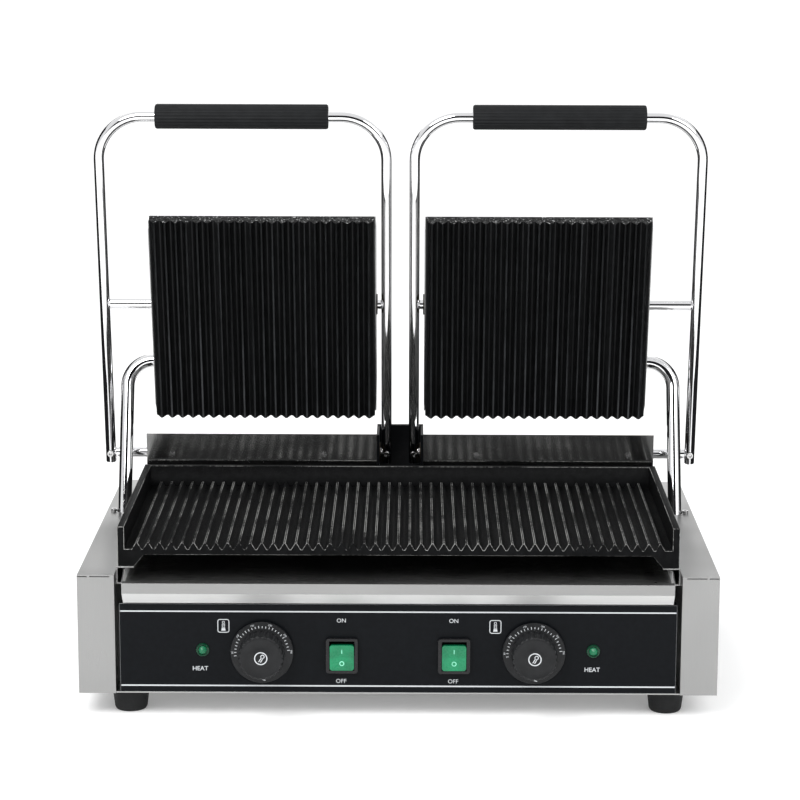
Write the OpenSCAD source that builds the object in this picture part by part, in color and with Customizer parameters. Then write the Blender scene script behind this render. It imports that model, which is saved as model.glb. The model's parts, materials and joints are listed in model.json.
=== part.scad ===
// Double contact grill: a low steel body with one long ribbed cooking plate,
// and two sprung lids that each press a smaller ribbed plate down on it.
// Z = 0 is the table, X runs across the front and +Y points to the back.

/* [Body] */
// Width over both side panels
body_w = 570; // [540:1:700]
// Depth of the side panels, front face to back face
body_d = 370; // [350:1:460]
// Height of the side panels
body_h = 109; // [100:1:140]
// Width of each side panel
side_w = 33; // [30:1:44]
// Thickness of the body's sheet steel
sheet = 1.2; // [0.8:0.1:1.6]

/* [Feet] */
// Height of the rubber feet
foot_h = 22; // [16:1:30]
// Foot diameter at its top
foot_top_d = 34; // [30:1:40]
// Foot diameter at the table
foot_bottom_d = 29; // [26:1:34]
// Distance from the body's side to a foot's centre
foot_inset_x = 43.5; // [36:0.5:60]
// Distance from the body's front and back faces to a foot's centre
foot_inset_y = 28; // [20:1:50]

/* [Control panel] */
// Space between the control panel and the tray's floor
panel_drop = 14.6; // [13:0.1:22]
// Gap between each end of the panel and the side panel
panel_gap = 4.1; // [2:0.1:8]
// Depth of the folded edges behind the panel
panel_fold = 12; // [8:1:20]
// Distance from the middle to each knob
knob_x = 121; // [112:1:132]
// Height of the knob axes above the body's lower edge
knob_rise = 39.5; // [36:0.5:44]
// Diameter of the knob's dial
dial_d = 56; // [50:1:60]
// Diameter of the knob's grip
grip_knob_d = 41; // [34:1:44]
// Distance that the knob's face stands in front of the body
knob_out = 22.3; // [18:0.1:30]
// Diameter of the thermostat spindle
spindle_d = 6; // [5:0.5:8]
// Distance from the middle to each switch
switch_x = 50; // [46:1:56]
// Height of the switches above the body's lower edge
switch_rise = 36; // [30:0.5:40]
// Width of the switch frame beyond the rocker's
frame_over_w = 7; // [6:0.5:10]
// Height of the switch frame beyond the rocker's
frame_over_h = 7.7; // [7.5:0.1:11]
// Width of the rocker
rocker_w = 21.5; // [17:0.5:26]
// Height of the rocker
rocker_h = 24.3; // [20:0.1:29.2]
// Distance from the middle to each lamp
lamp_x = 174; // [165:1:185]
// Height of the lamps above the body's lower edge
lamp_rise = 40.5; // [36:0.5:44]
// Diameter of the lamp's rim
lamp_d = 12; // [10:0.5:14]

/* [Grease tray] */
// Distance that the tray stops short of the lower plate's back edge
tray_short = 34; // [24:1:80]
// Depth of the tray's floor below the top of the side panels
tray_drop = 11.7; // [11:0.1:14]
// Height of the tray's side walls
tray_wall = 12.2; // [8:0.1:12.4]
// Thickness of the tray's sheet
tray_sheet = 1; // [0.8:0.1:1.2]
// Distance that the tray's lip stands in front of the body
lip_out = 9; // [5:0.5:14]

/* [Lower plate] */
// Gap between the lower plate and each side panel
lower_gap = 1.5; // [0.5:0.1:6]
// Setback of the lower plate from the body's front face
lower_setback = 19; // [10:1:20]
// Height of the lower plate's underside above the side panels
lower_rise = 14; // [12:0.5:24]
// Thickness of the casting below the grooves
lower_floor = 5; // [4:0.5:8]
// Thickness of the raised rim
rim_t = 6; // [4:0.5:8]
// Height of the rim above the tips of the ribs
rim_up = 14.5; // [8:0.5:20]

/* [Ribs] */
// Distance from one rib to the next
rib_pitch = 10.15; // [8:0.05:12]
// Height of a rib
rib_h = 6; // [4:0.5:8]
// Width of a rib's flat tip
rib_tip = 1.6; // [1:0.1:3]
// Width of the flat at the bottom of a groove
rib_valley = 1.4; // [1:0.1:3]

/* [Rear housing] */
// Space between each end of the rear housing and the side panel's inner face
rear_gap = 2.6; // [1:0.1:8]
// Space between the lower plate and the rear housing
rear_clear = 7; // [6:0.5:14]
// Depth of the deck left behind the rear housing
deck_d = 44; // [30:1:60]
// Depth of the rear housing
rear_d = 50; // [44:1:60]
// Height of the rear housing above the side panels
rear_h = 69; // [64:1:90]
// Width of the notch in the middle, for the inner arms
notch_w = 45.8; // [44:0.1:60]

/* [Lids] */
// Height of the lid pivots above the side panels
pivot_rise = 45; // [42:0.5:52]
// Forward lean of the open arms, from upright
arm_lean = 10; // [6:0.5:14]
// Diameter of the handle rod
rod_d = 10; // [8:0.5:11]
// Gap between an inner arm and its bearing
arm_clear = 0.8; // [0.4:0.1:2]
// Distance that an outer arm's centre stands outside the body
outer_out = 2.5; // [1:0.5:8]
// Length of the handle beyond the crossbar
handle_beyond = 187.7; // [150:0.1:230]
// Radius of the handle's corners, on the rod's centre line
handle_bend = 43; // [30:1:50]
// Length of the arm below the pivot
arm_tail = 10; // [8:0.5:14]
// Distance that the closed crossbar lies behind the middle of the lower plate
bar_behind = 1.51; // [0:0.01:4]
// Diameter of the pivot shaft and of the crossbar
bar_d = 10; // [8:0.5:12]
// Diameter of the spigots on the ends of the bars
spigot_d = 6; // [5:0.5:7]
// Diameter of the grip
grip_d = 23.5; // [20:0.5:30]
// Distance that the grip stops short of the handle's corners
grip_short = 12; // [4:1:40]

/* [Upper plates] */
// Space between an upper plate's outer edge and the lower plate's rim
upper_gap = 5.8; // [4:0.1:12]
// Difference in length between the lower plate and an upper one
upper_short = 36.2; // [30:0.1:50]
// Distance from the middle to an upper plate's inner edge
upper_x = 24.5; // [24:0.1:28]
// Forward lean of the open upper plates, from upright
plate_lean = 14.8; // [10:0.1:16]
// Distance from the crossbar's axis to the tips of the ribs
bar_back = 34.9; // [30:0.1:40]
// Thickness of the upper casting, ribs included
upper_t = 18; // [15:0.5:22]
// Depth of the upper cover behind the tips of the ribs
cover_back = 54; // [50:0.5:60]
// Width of casting edge that the cover leaves bare
cover_bare = 10; // [8:0.5:12]
// How far the upper cover's ends slope in towards its back
cover_slope = 24; // [20:1:28]
// How much shorter the upper plate is in front of its bar than behind it
upper_trim = 8; // [7:0.5:11]

/* [Conduits] */
// Diameter of the conduit tube
conduit_d = 13; // [10.5:0.5:15.5]
// Thickness of the conduit's wall
conduit_wall = 1.3; // [0.8:0.1:2]
// Distance from the middle of a side panel in to the upright part of a conduit
conduit_in = 0.5; // [-1:0.5:2]
// Radius of the conduit's bend, on its centre line
conduit_bend = 25; // [20:1:26]
// Length of a conduit that stays in the side panel when the lid is open
conduit_stay = 31.24; // [24:0.01:40]
// Distance from the rear housing forward to where a conduit enters the side panel
guide_ahead = 35; // [32:1:38]
// Distance from an upper plate's lower edge to the conduit's pivot
conduit_up = 42.7; // [36:0.1:50]
// Distance from the tips of the upper ribs back to the conduit's pivot
conduit_back = 40.6; // [36:0.1:44]

/* [Fits] */
// Radial clearance of a shaft in its bore
run_fit = 0.05; // [0.02:0.01:0.1]
// Gap left beside a piece that is slid or dropped into place
slip_fit = 0.4; // [0.2:0.1:0.6]
// Gap between the closed plates, rib to rib
press_gap = 1; // [0.5:0.1:3]
// Play that the conduit has in its guide, in front of and behind it
guide_play = 3; // [2.8:0.1:4]

/* [Hidden] */
$fn = 48;

// Reaches beyond the body, which centre the part on its own footprint
gland_out = 20;
front_y = -body_d / 2 + (knob_out - gland_out) / 2;

// Heights of the body
body_z = foot_h;
body_top = body_z + body_h;
half_w = body_w / 2;
inner_face = half_w - side_w;
panel_half = inner_face - panel_gap;
panel_y = 1.5;
tray_rise = body_h - tray_drop;
panel_h = tray_rise - panel_drop;
panel_top = body_z + panel_h;
knob_z = body_z + knob_rise;
switch_z = body_z + switch_rise;
lamp_z = body_z + lamp_rise;

// Control pieces
knob_gap = 0.6;
dial_t = 2.5;
dial_y = -4.6;
knob_flutes = 24;
flute_d = 2.4;
spindle_l = 22;
thermostat_size = [32, 26, 40];
rocker_tilt = 7;
rocker_pivot_y = 5;
rocker_play = 1.4;
frame_w = rocker_w + frame_over_w;
frame_h = rocker_h + frame_over_h;
frame_out = 3;
frame_lip = 3;
switch_body_d = 24;
lamp_out = 3;
lamp_body_d = 9;

// Depths, from the back of the body forwards
rear_y = body_d - deck_d - rear_d;
lower_y = lower_setback;
lower_back = rear_y - rear_clear;
lower_d = lower_back - lower_y;
tray_d = lower_back - tray_short;
guide_y = rear_y - guide_ahead;

// Grease tray
tray_floor_z = body_z + tray_rise;
tray_half = inner_face - 7.6;
lip_top = tray_floor_z + 6.8;
lip_fold = 9.5;
lip_return = 10.5;

// Runners: one shelf for the tray, one above it for the lower plate's lugs
runner_t = 1.2;
shelf_in = 16;
lug_z = tray_floor_z + tray_wall + 1.3 + runner_t;

// Lower plate
lower_w = 2 * (inner_face - lower_gap);
lower_z = body_top + lower_rise;
valley_z = lower_z + lower_floor;
tip_z = valley_z + rib_h;
rim_z = tip_z + rim_up;
bed_half = lower_w / 2 - rim_t;
rib_run = lower_d - rim_t - 5;
lower_ribs = floor((2 * bed_half - 4) / rib_pitch);
lug_w = 23.5;
lug_d = 12;
lug_taper = 9;

// Heating elements, as hairpins of sheathed rod
element_d = 8;
element_gap = 30;
shield_behind = 12;
shield_half = lower_w / 2 - lug_w - 0.7;
shield_y = lower_y + 58;
shield_d = lower_back - shield_y - shield_behind;
lower_hairpins = floor(shield_d / (2 * element_gap));
shield_t = 0.8;
shield_depth = lower_z - lug_z + 2;

// Rear housing and pivots
rear_half = inner_face - rear_gap;
rear_w = 2 * rear_half;
rear_top = body_top + rear_h;
pivot_y = rear_y + rear_d / 2;
pivot_z = body_top + pivot_rise;
ear_t = 2;
bracket_half = notch_w / 2 - slip_fit;
bush_wall = 2.5;
bush_l = 8;
bush_flange = 1.2;
inner_x = bracket_half - ear_t - bush_flange - arm_clear - rod_d / 2;
outer_x = half_w + outer_out;
arm_gap = outer_x - inner_x;
grip_x = inner_x + arm_gap / 2;
grip_flutes = 22;
grip_flute_d = 1.8;
spigot_l = 7;
spring_d = 19;
spring_wire = 2.4;
spring_turns = 9;
spring_pitch = 3;
spring_x = 62;
collar_d = 26;
collar_l = 9;
screw_head_d = 6.5;
screw_head_t = 1.8;
screw_d = 4;
screw_seat = 0.4;

// Crossbar and upper plate, in the plane across the machine
bar_l = norm([pivot_y - lower_y - lower_d / 2 - bar_behind, tip_z + press_gap + bar_back - pivot_z]);
handle_l = bar_l + handle_beyond;
grip_l = arm_gap - 2 * handle_bend - 2 * grip_short;
bar_y = pivot_y - bar_l * sin(arm_lean);
bar_z = pivot_z + bar_l * cos(arm_lean);
upper_w = bed_half - upper_gap - upper_x;
upper_l = lower_d - upper_short - upper_trim;
upper_mid = -upper_trim / 2;
upper_low = upper_mid - upper_l / 2;
upper_high = upper_mid + upper_l / 2;
upper_ribs = floor(upper_w / rib_pitch);
casting_back = bar_back - upper_t;
cover_t = 1;
cover_gap = 0.2;
cover_front = bar_back - cover_bare;
cover_rear = bar_back - cover_back;
cover_in = upper_x - cover_gap - cover_t;
cover_out = upper_x + upper_w + cover_gap + cover_t;
lug_in = 30;
boss_t = 14;
boss_d = 22;

// Conduit pivot, first in the plate's own frame and then across the machine
joint_v = conduit_up + upper_low;
joint_w = bar_back - conduit_back;
joint_y = bar_y - joint_v * sin(plate_lean) - joint_w * cos(plate_lean);
joint_z = bar_z + joint_v * cos(plate_lean) - joint_w * sin(plate_lean);
conduit_bore = conduit_d - 2 * conduit_wall;
conduit_x = half_w - side_w / 2 - conduit_in;
conduit_l = norm([joint_y - guide_y, joint_z - body_top]) + conduit_stay;
conduit_lean = atan2(joint_y - guide_y, joint_z - body_top);
conduit_grip = 14;
guide_t = 3;
guide_slot = conduit_d + 2 * guide_play + 1.4;
guide_flare = 4.5;
guide_screw_x = conduit_x + conduit_d / 2 + 3.4;

eps = 0.01;

// ---------- placing ----------

// From the body's front face to the frame centred on the footprint
module placed() translate([0, front_y, 0]) children();

// Right-hand pieces are drawn as they stand, left-hand ones are their mirror images
module handed(left) {
    if (left) mirror([1, 0, 0]) children();
    else children();
}

// Origin on the pivot axis, Z along the open arms
module on_lid() translate([0, pivot_y, pivot_z]) rotate([arm_lean, 0, 0]) children();

// Origin on the crossbar, Y up the plate and Z out through its ribs
module on_plate() translate([0, bar_y, bar_z]) rotate([90 + plate_lean, 0, 0]) children();

// Origin on the conduit's pivot, Z up its straight leg
module on_conduit() translate([0, joint_y, joint_z]) rotate([-conduit_lean, 0, 0]) children();

module along_x(x, h, d) translate([x, 0, 0]) rotate([0, 90, 0]) cylinder(h = h, d = d);

// Bars run back from the front: the cylinder starts at y and is h long
module along_y(y, h, d) translate([0, y, 0]) rotate([-90, 0, 0]) cylinder(h = h, d = d);

// ---------- shared shapes ----------

// Section of a ribbed plate: n ribs across width w, flat underside at 0, grooves at floor_t
function rib_points(n, w, floor_t) = let (x0 = -n * rib_pitch / 2) concat(
    [[-w / 2, 0], [-w / 2, floor_t]],
    [for (i = [0 : n - 1], p = [
        [rib_valley / 2, floor_t],
        [(rib_pitch - rib_tip) / 2, floor_t + rib_h],
        [(rib_pitch + rib_tip) / 2, floor_t + rib_h],
        [rib_pitch - rib_valley / 2, floor_t]]) [x0 + i * rib_pitch + p.x, p.y]],
    [[w / 2, floor_t], [w / 2, 0]]);

module rib_slab(n, w, floor_t, run) rotate([90, 0, 0])
    linear_extrude(run, center = true) polygon(rib_points(n, w, floor_t));

module rounded_square(w, h, r) {
    square([w - 2 * r, h], center = true);
    square([w, h - 2 * r], center = true);
    for (x = [-1, 1], y = [-1, 1]) translate([x * (w / 2 - r), y * (h / 2 - r)]) circle(r);
}

module slot(length, width) {
    square([width, length - width], center = true);
    for (y = [-1, 1]) translate([0, y * (length - width) / 2]) circle(d = width);
}

// Hairpin of sheathed rod: two legs along X and a half turn at the far end
module hairpin(leg) {
    for (y = [-1, 1]) translate([0, y * element_gap / 2, 0]) along_x(0, leg, element_d);
    translate([leg, 0, 0]) rotate([0, 0, -90]) rotate_extrude(angle = 180)
        translate([element_gap / 2, 0]) circle(d = element_d);
}

// Bearing bush along X, with its flange towards +X
module bush(bore, wall, h) difference() {
    union() {
        along_x(-h, h, bore + 2 * wall);
        along_x(0, bush_flange, bore + 4 * wall);
    }
    along_x(-h - 1, h + bush_flange + 2, bore);
}

module socket_screw(head_d, head_t, shank) difference() {
    union() {
        cylinder(h = head_t, d = head_d);
        translate([0, 0, -shank]) cylinder(h = shank + eps, d = screw_d);
    }
    translate([0, 0, head_t - 1.3]) cylinder(h = 2, d = 3.2, $fn = 6);
}

// ---------- body ----------

module side_panel(left) color("silver") placed() handed(left) difference() {
    translate([inner_face, 0, body_z]) cube([side_w, body_d, body_h]);
    translate([inner_face + sheet, sheet, body_z - 1])
        cube([side_w - 2 * sheet, body_d - 2 * sheet, body_h - sheet + 1]);
    // The inner wall stops above the base pan, which closes the panel from below
    translate([inner_face - 1, sheet, body_z - 1])
        cube([side_w - sheet + 1, body_d - 2 * sheet, sheet + slip_fit + 1]);
    // Way through the inner wall for the wiring
    translate([inner_face - 1, body_d - 130, body_z + 18]) cube([sheet + 2, 70, 50]);
    translate([conduit_x, guide_y, body_top - sheet - 1]) linear_extrude(sheet + 2)
        slot(guide_slot, conduit_d + 1.4);
    translate([guide_screw_x, guide_y - 4, body_top - 5]) cylinder(h = 8, d = screw_d + 0.2);
}

module base_pan() color("gainsboro") placed() difference() {
    translate([-half_w + sheet + slip_fit, sheet + slip_fit, body_z])
        cube([body_w - 2 * (sheet + slip_fit), body_d - 2 * (sheet + slip_fit), sheet]);
    for (x = [-1, 1], y = [foot_inset_y, body_d - foot_inset_y])
        translate([x * (half_w - foot_inset_x), y, body_z - 1]) cylinder(h = sheet + 2, d = 5.4);
    for (x = [-4 : 4], y = [0, 1])
        translate([x * 42, 120 + y * 90, body_z - 1]) linear_extrude(sheet + 2) slot(60, 6);
}

module rear_panel() color("silver") placed() difference() {
    translate([-inner_face, body_d - sheet, body_z + sheet + slip_fit])
        cube([2 * inner_face, sheet, body_h - sheet - slip_fit]);
    for (x = [-5 : 5], z = [0 : 3])
        translate([x * 34, body_d, body_z + 40 + z * 14]) rotate([90, 90, 0])
            translate([0, 0, -1]) linear_extrude(sheet + 2) slot(24, 4);
    translate([gland_x(), body_d, gland_z()]) rotate([90, 0, 0]) translate([0, 0, -1])
        cylinder(h = sheet + 2, d = 16 + 2 * run_fit);
}

module rear_deck() color("silver") placed()
    translate([-inner_face, lower_back - 7, body_top - sheet])
        cube([2 * inner_face, body_d - sheet - lower_back + 7, sheet]);

// Holes for one side's knob, switch and lamp, as a flat drawing seen from the front
module control_holes() {
    translate([knob_x, knob_z]) circle(d = spindle_d + 4);
    translate([switch_x, switch_z]) square([frame_w - frame_lip, frame_h - frame_lip], center = true);
    translate([lamp_x, lamp_z]) circle(d = lamp_body_d + 2 * run_fit);
}

module control_panel() color("#15171a") placed() difference() {
    translate([-panel_half, panel_y, body_z + sheet + 0.1])
        cube([2 * panel_half, panel_fold, panel_h - sheet - 0.1]);
    translate([-panel_half + sheet, panel_y + sheet, body_z + 2 * sheet + 0.1])
        cube([2 * (panel_half - sheet), panel_fold, panel_h - 3 * sheet - 0.1]);
    for (left = [false, true]) handed(left) rotate([90, 0, 0])
        translate([0, 0, -panel_y - sheet - 1]) linear_extrude(sheet + 2) control_holes();
}

// Folded bracket on the side panel: the tray slides on its lower shelf
module tray_runner(left) color("silver") placed() handed(left) {
    translate([inner_face - runner_t, lower_y, tray_floor_z - runner_t])
        cube([runner_t, tray_d - lower_y, lug_z - tray_floor_z + runner_t]);
    for (z = [tray_floor_z, lug_z])
        translate([inner_face - shelf_in, lower_y, z - runner_t])
            cube([shelf_in - runner_t + eps, tray_d - lower_y, runner_t]);
}

// ---------- lower plate ----------

module plate_lug() rotate([90, 0, 0]) linear_extrude(lug_d, center = true) polygon([
    [lower_w / 2, lower_z + 1], [lower_w / 2 - lug_w, lower_z + 1], [lower_w / 2 - lug_w, lower_z],
    [lower_w / 2 - lug_w + lug_taper, lug_z], [lower_w / 2, lug_z]]);

module lower_plate() color("#1c1d1f") placed() {
    translate([0, lower_y + rib_run / 2, lower_z]) rib_slab(lower_ribs, lower_w, lower_floor, rib_run);
    translate([-lower_w / 2, lower_y + rib_run - eps, lower_z])
        cube([lower_w, lower_d - rib_run + eps, lower_floor]);
    for (left = [false, true]) handed(left) {
        translate([bed_half, lower_y, lower_z]) cube([rim_t, lower_d, rim_z - lower_z]);
        for (y = [lower_y + lug_d / 2, tray_d - lug_d / 2]) translate([0, y, 0]) plate_lug();
    }
    translate([-lower_w / 2, lower_back - rim_t, lower_z]) cube([lower_w, rim_t, rim_z - lower_z]);
}

module lower_elements() color("dimgray") placed()
    for (i = [0 : lower_hairpins - 1])
        translate([-shield_half + 22, shield_y + 30 + i * 2 * element_gap, lower_z - element_d / 2])
            hairpin(2 * shield_half - 64);

module heat_shield() color("lightgray") placed() translate([-shield_half, shield_y, lower_z - shield_depth])
    difference() {
        cube([2 * shield_half, shield_d, shield_depth]);
        translate([shield_t, shield_t, shield_t])
            cube([2 * (shield_half - shield_t), shield_d - 2 * shield_t, shield_depth]);
    }

// ---------- rear housing ----------

module rear_cover() color("silver") placed() difference() {
    translate([-rear_half, rear_y, body_top]) cube([rear_w, rear_d, rear_h]);
    translate([-rear_half + sheet, rear_y + sheet, body_top - 1])
        cube([rear_w - 2 * sheet, rear_d - 2 * sheet, rear_h - sheet + 1]);
    translate([-notch_w / 2, rear_y - 1, body_top - 1]) cube([notch_w, rear_d - sheet + 1, rear_h + 2]);
    for (x = [-rear_half - 1, rear_half - sheet - 1])
        translate([0, pivot_y, pivot_z]) along_x(x, sheet + 2, bush_outer());
    for (left = [false, true]) handed(left) cover_screw_places() along_y(-1, sheet + 2, screw_d - 0.8);
}

// Black channel that closes the notch and carries the inner ends of both pivot shafts
module centre_bracket() color("#101112") placed() difference() {
    translate([-bracket_half, rear_y + sheet, body_top])
        cube([2 * bracket_half, rear_d - 2 * sheet, rear_h - 1]);
    translate([-bracket_half + ear_t, rear_y, body_top + ear_t])
        cube([2 * (bracket_half - ear_t), rear_d - sheet - ear_t, rear_h]);
    translate([0, pivot_y, pivot_z]) along_x(-bracket_half - 1, 2 * bracket_half + 2, bush_outer());
}

function bush_outer() = bar_d + 2 * run_fit + 2 * bush_wall;

module shaft_bushes() color("#c9a227") placed() translate([0, pivot_y, pivot_z])
    for (left = [false, true]) handed(left) {
        translate([rear_half, 0, 0]) bush(bar_d + 2 * run_fit, bush_wall, bush_l);
        translate([bracket_half - ear_t, 0, 0]) mirror([1, 0, 0])
            bush(bar_d + 2 * run_fit, bush_wall, bush_l);
    }

// Coil swept as rings of points along a helix about X
function coil_point(t, a) = let (r = spring_d / 2 + spring_wire / 2 * cos(a))
    [spring_pitch * t / 360 + spring_wire / 2 * sin(a), r * cos(t), r * sin(t)];

module coil() {
    sides = 6;
    per_turn = 14;
    steps = spring_turns * per_turn;
    rings = [for (i = [0 : steps], k = [0 : sides - 1]) coil_point(i * 360 / per_turn, k * 360 / sides)];
    walls = [for (i = [0 : steps - 1], k = [0 : sides - 1])
        let (a = i * sides + k, b = i * sides + (k + 1) % sides) [a, b, b + sides, a + sides]];
    polyhedron(rings, concat([[for (k = [sides - 1 : -1 : 0]) k]], walls,
        [[for (k = [0 : sides - 1]) steps * sides + k]]));
}

module torsion_springs() color("slategray") placed() translate([0, pivot_y, pivot_z])
    for (left = [false, true]) handed(left) translate([spring_x, 0, 0]) coil();

// Places of the screws in the rear cover's front, on one side
module cover_screw_places() for (x = [0.3, 0.9])
    translate([x * rear_half, rear_y, body_top + 0.7 * rear_h]) children();

module cover_screws() color("gainsboro") placed() for (left = [false, true]) handed(left)
    cover_screw_places() difference() {
        union() {
            along_y(-1.2, 1.2, 5);
            along_y(-eps, 6, screw_d - 1);
        }
        translate([0, -1.3, 0]) cube([3.4, 1.2, 0.7], center = true);
        translate([0, -1.3, 0]) cube([0.7, 1.2, 3.4], center = true);
    }

// ---------- feet ----------

module foot_places() for (x = [-1, 1], y = [foot_inset_y, body_d - foot_inset_y])
    translate([x * (half_w - foot_inset_x), y, 0]) children();

module feet() color("#18181a") placed() foot_places() difference() {
    cylinder(h = foot_h, d1 = foot_bottom_d, d2 = foot_top_d);
    translate([0, 0, -1]) cylinder(h = foot_h + 2, d = 5.4);
    translate([0, 0, -1]) cylinder(h = foot_h * 0.45 + 1, d = 12);
}

module foot_screws() color("silver") placed() foot_places() {
    translate([0, 0, foot_h * 0.45 - 3]) cylinder(h = 3, d = 10);
    translate([0, 0, foot_h * 0.45 - eps]) cylinder(h = foot_h * 0.55 + sheet + 5, d = 5);
    translate([0, 0, body_z + sheet]) cylinder(h = 4, d = 9.2, $fn = 6);
}

// ---------- controls ----------

module thermostats() color("tan") placed() for (left = [false, true]) handed(left)
    translate([knob_x, panel_y + sheet, knob_z]) difference() {
        union() {
            translate([-thermostat_size.x / 2, 0, -thermostat_size.z / 2]) cube(thermostat_size);
            along_y(thermostat_size.y - eps, 12, 22);
        }
        along_y(-1, thermostat_size.y * 0.6 + 1, spindle_d + 2 * run_fit);
    }

module spindle(left) color("silver") placed() handed(left) translate([knob_x, 0, knob_z])
    along_y(-knob_out + 6, spindle_l, spindle_d);

// Round dial with a fluted grip on it, bored from behind for the spindle
module knob(left) color("#1a1b1d") placed() handed(left) translate([knob_x, 0, knob_z]) difference() {
    union() {
        along_y(dial_y, dial_t, dial_d);
        translate([0, dial_y + eps, 0]) rotate([90, 0, 0]) linear_extrude(knob_out + dial_y) difference() {
            circle(d = grip_knob_d);
            for (a = [1 : knob_flutes]) rotate(a * 360 / knob_flutes)
                translate([grip_knob_d / 2 + 0.2, 0]) circle(d = flute_d, $fn = 16);
        }
        along_y(dial_y + dial_t - eps, -dial_y - dial_t + panel_y - knob_gap, spindle_d + 6);
    }
    along_y(-knob_out + 6, knob_out, spindle_d + 2 * run_fit);
}

module switch_housing(left) color("#141416") placed() handed(left) translate([switch_x, 0, switch_z])
    difference() {
        union() {
            rotate([90, 0, 0]) translate([0, 0, -panel_y]) linear_extrude(frame_out + panel_y)
                rounded_square(frame_w, frame_h, 2.5);
            translate([-(frame_w - frame_lip) / 2 + run_fit, panel_y - eps, -(frame_h - frame_lip) / 2 + run_fit])
                cube([frame_w - frame_lip - 2 * run_fit, switch_body_d, frame_h - frame_lip - 2 * run_fit]);
            for (x = [-6, 6]) translate([x - 2.4, panel_y + switch_body_d - 2 * eps, -0.4])
                cube([4.8, 9, 0.8]);
        }
        // Well that the rocker tilts in
        translate([-rocker_w / 2 - slip_fit, -frame_out - 1, -rocker_h / 2 - rocker_play])
            cube([rocker_w + 2 * slip_fit, frame_out + panel_y + 15, rocker_h + 2 * rocker_play]);
    }

// Rocker with two shallow faces; its lower half is pressed in
module rocker(left) color("#0c8a55") placed() handed(left)
    translate([switch_x, rocker_pivot_y, switch_z]) rotate([rocker_tilt, 0, 0]) difference() {
        rotate([90, 0, 90]) linear_extrude(rocker_w, center = true) polygon([
            [1, -rocker_h / 2 + 3], [-rocker_pivot_y - 4.6, -rocker_h / 2], [-rocker_pivot_y - 3, 0],
            [-rocker_pivot_y - 4.6, rocker_h / 2], [1, rocker_h / 2 - 3]]);
        along_x(-rocker_w, 2 * rocker_w, 2.4);
    }

module lamp_rims() color("#0f3d2b") placed() for (left = [false, true]) handed(left)
    translate([lamp_x, 0, lamp_z]) difference() {
        union() {
            along_y(panel_y - 2, 2, lamp_d);
            along_y(panel_y - eps, 22, lamp_body_d);
        }
        along_y(panel_y - 3, 8, lamp_body_d - 2);
    }

module lamp_lenses() color("#12b070", 0.9) placed() for (left = [false, true]) handed(left)
    translate([lamp_x, 0, lamp_z]) {
        along_y(panel_y - 2, 7, lamp_body_d - 2);
        translate([0, panel_y - 2 + eps, 0]) rotate([90, 0, 0])
            cylinder(h = lamp_out - panel_y, d1 = lamp_body_d - 2, d2 = lamp_body_d - 5);
    }

// ---------- inside the body ----------

module terminal_block() color("ivory") placed()
    translate([gland_x() - 30, body_d - 120, body_z + sheet]) difference() {
        cube([60, 24, 20]);
        for (i = [0 : 4]) translate([6 + i * 12, 12, 8]) cylinder(h = 14, d = 5);
    }

function gland_x() = half_w - 120;
function gland_z() = body_z + 24;

// Cord gland through the rear panel, with an empty bore for the mains cord
module cord_gland() color("#1a1a1c") placed() translate([gland_x(), body_d, gland_z()]) difference() {
    union() {
        along_y(-sheet - 10, sheet + 10 + gland_out - 8, 16);
        rotate([-90, 0, 0]) cylinder(h = 5, d = 24, $fn = 6);
        translate([0, gland_out - 8 - eps, 0]) rotate([-90, 0, 0]) cylinder(h = 8, d1 = 20, d2 = 13);
        translate([0, -sheet, 0]) rotate([90, 0, 0]) cylinder(h = 5, d = 23, $fn = 6);
    }
    along_y(-40, 80, 9);
}

module conduit_guides() color("#202124") placed() for (left = [false, true]) handed(left)
    translate([conduit_x, guide_y, body_top - sheet - guide_t]) difference() {
        translate([-side_w / 2 + sheet + 2, -24, 0]) cube([side_w - 2 * sheet - 4, 48, guide_t]);
        translate([0, 0, -1]) linear_extrude(guide_t + 2) slot(guide_slot + guide_flare, conduit_d + 1.6);
        translate([guide_screw_x - conduit_x, -4, -1]) cylinder(h = guide_t + 2, d = screw_d + 0.2);
    }

module guide_screws() color("silver") placed() for (left = [false, true]) handed(left)
    translate([guide_screw_x, guide_y - 4, body_top]) socket_screw(screw_head_d - 0.7, 2.6, 6);

// ---------- grease tray ----------

// Section of the tray from front to back: rolled lip, floor and back wall
module tray_section() {
    t = tray_sheet;
    polygon([
        [t, lip_top - lip_fold - lip_return - 0.5], [-lip_out, lip_top - lip_fold], [-lip_out, lip_top],
        [-1, lip_top], [0, tray_floor_z + t], [tray_d - t, tray_floor_z + t],
        [tray_d - t, tray_floor_z + tray_wall], [tray_d, tray_floor_z + tray_wall],
        [tray_d, tray_floor_z], [-1, tray_floor_z], [-1.8, lip_top - t], [-lip_out + t, lip_top - t],
        [-lip_out + t, lip_top - lip_fold + 0.4], [t * 2.2, lip_top - lip_fold - lip_return + 0.2]]);
}

module grease_tray() color("silver") placed() {
    rotate([90, 0, 90]) linear_extrude(2 * tray_half, center = true) tray_section();
    for (left = [false, true]) handed(left) translate([tray_half - eps, 0, 0]) rotate([90, 0, 90])
        linear_extrude(tray_sheet) polygon([
            [-1, tray_floor_z], [-1, lip_top - 1], [14, tray_floor_z + tray_wall],
            [tray_d, tray_floor_z + tray_wall], [tray_d, tray_floor_z]]);
}

// ---------- lids ----------

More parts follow.
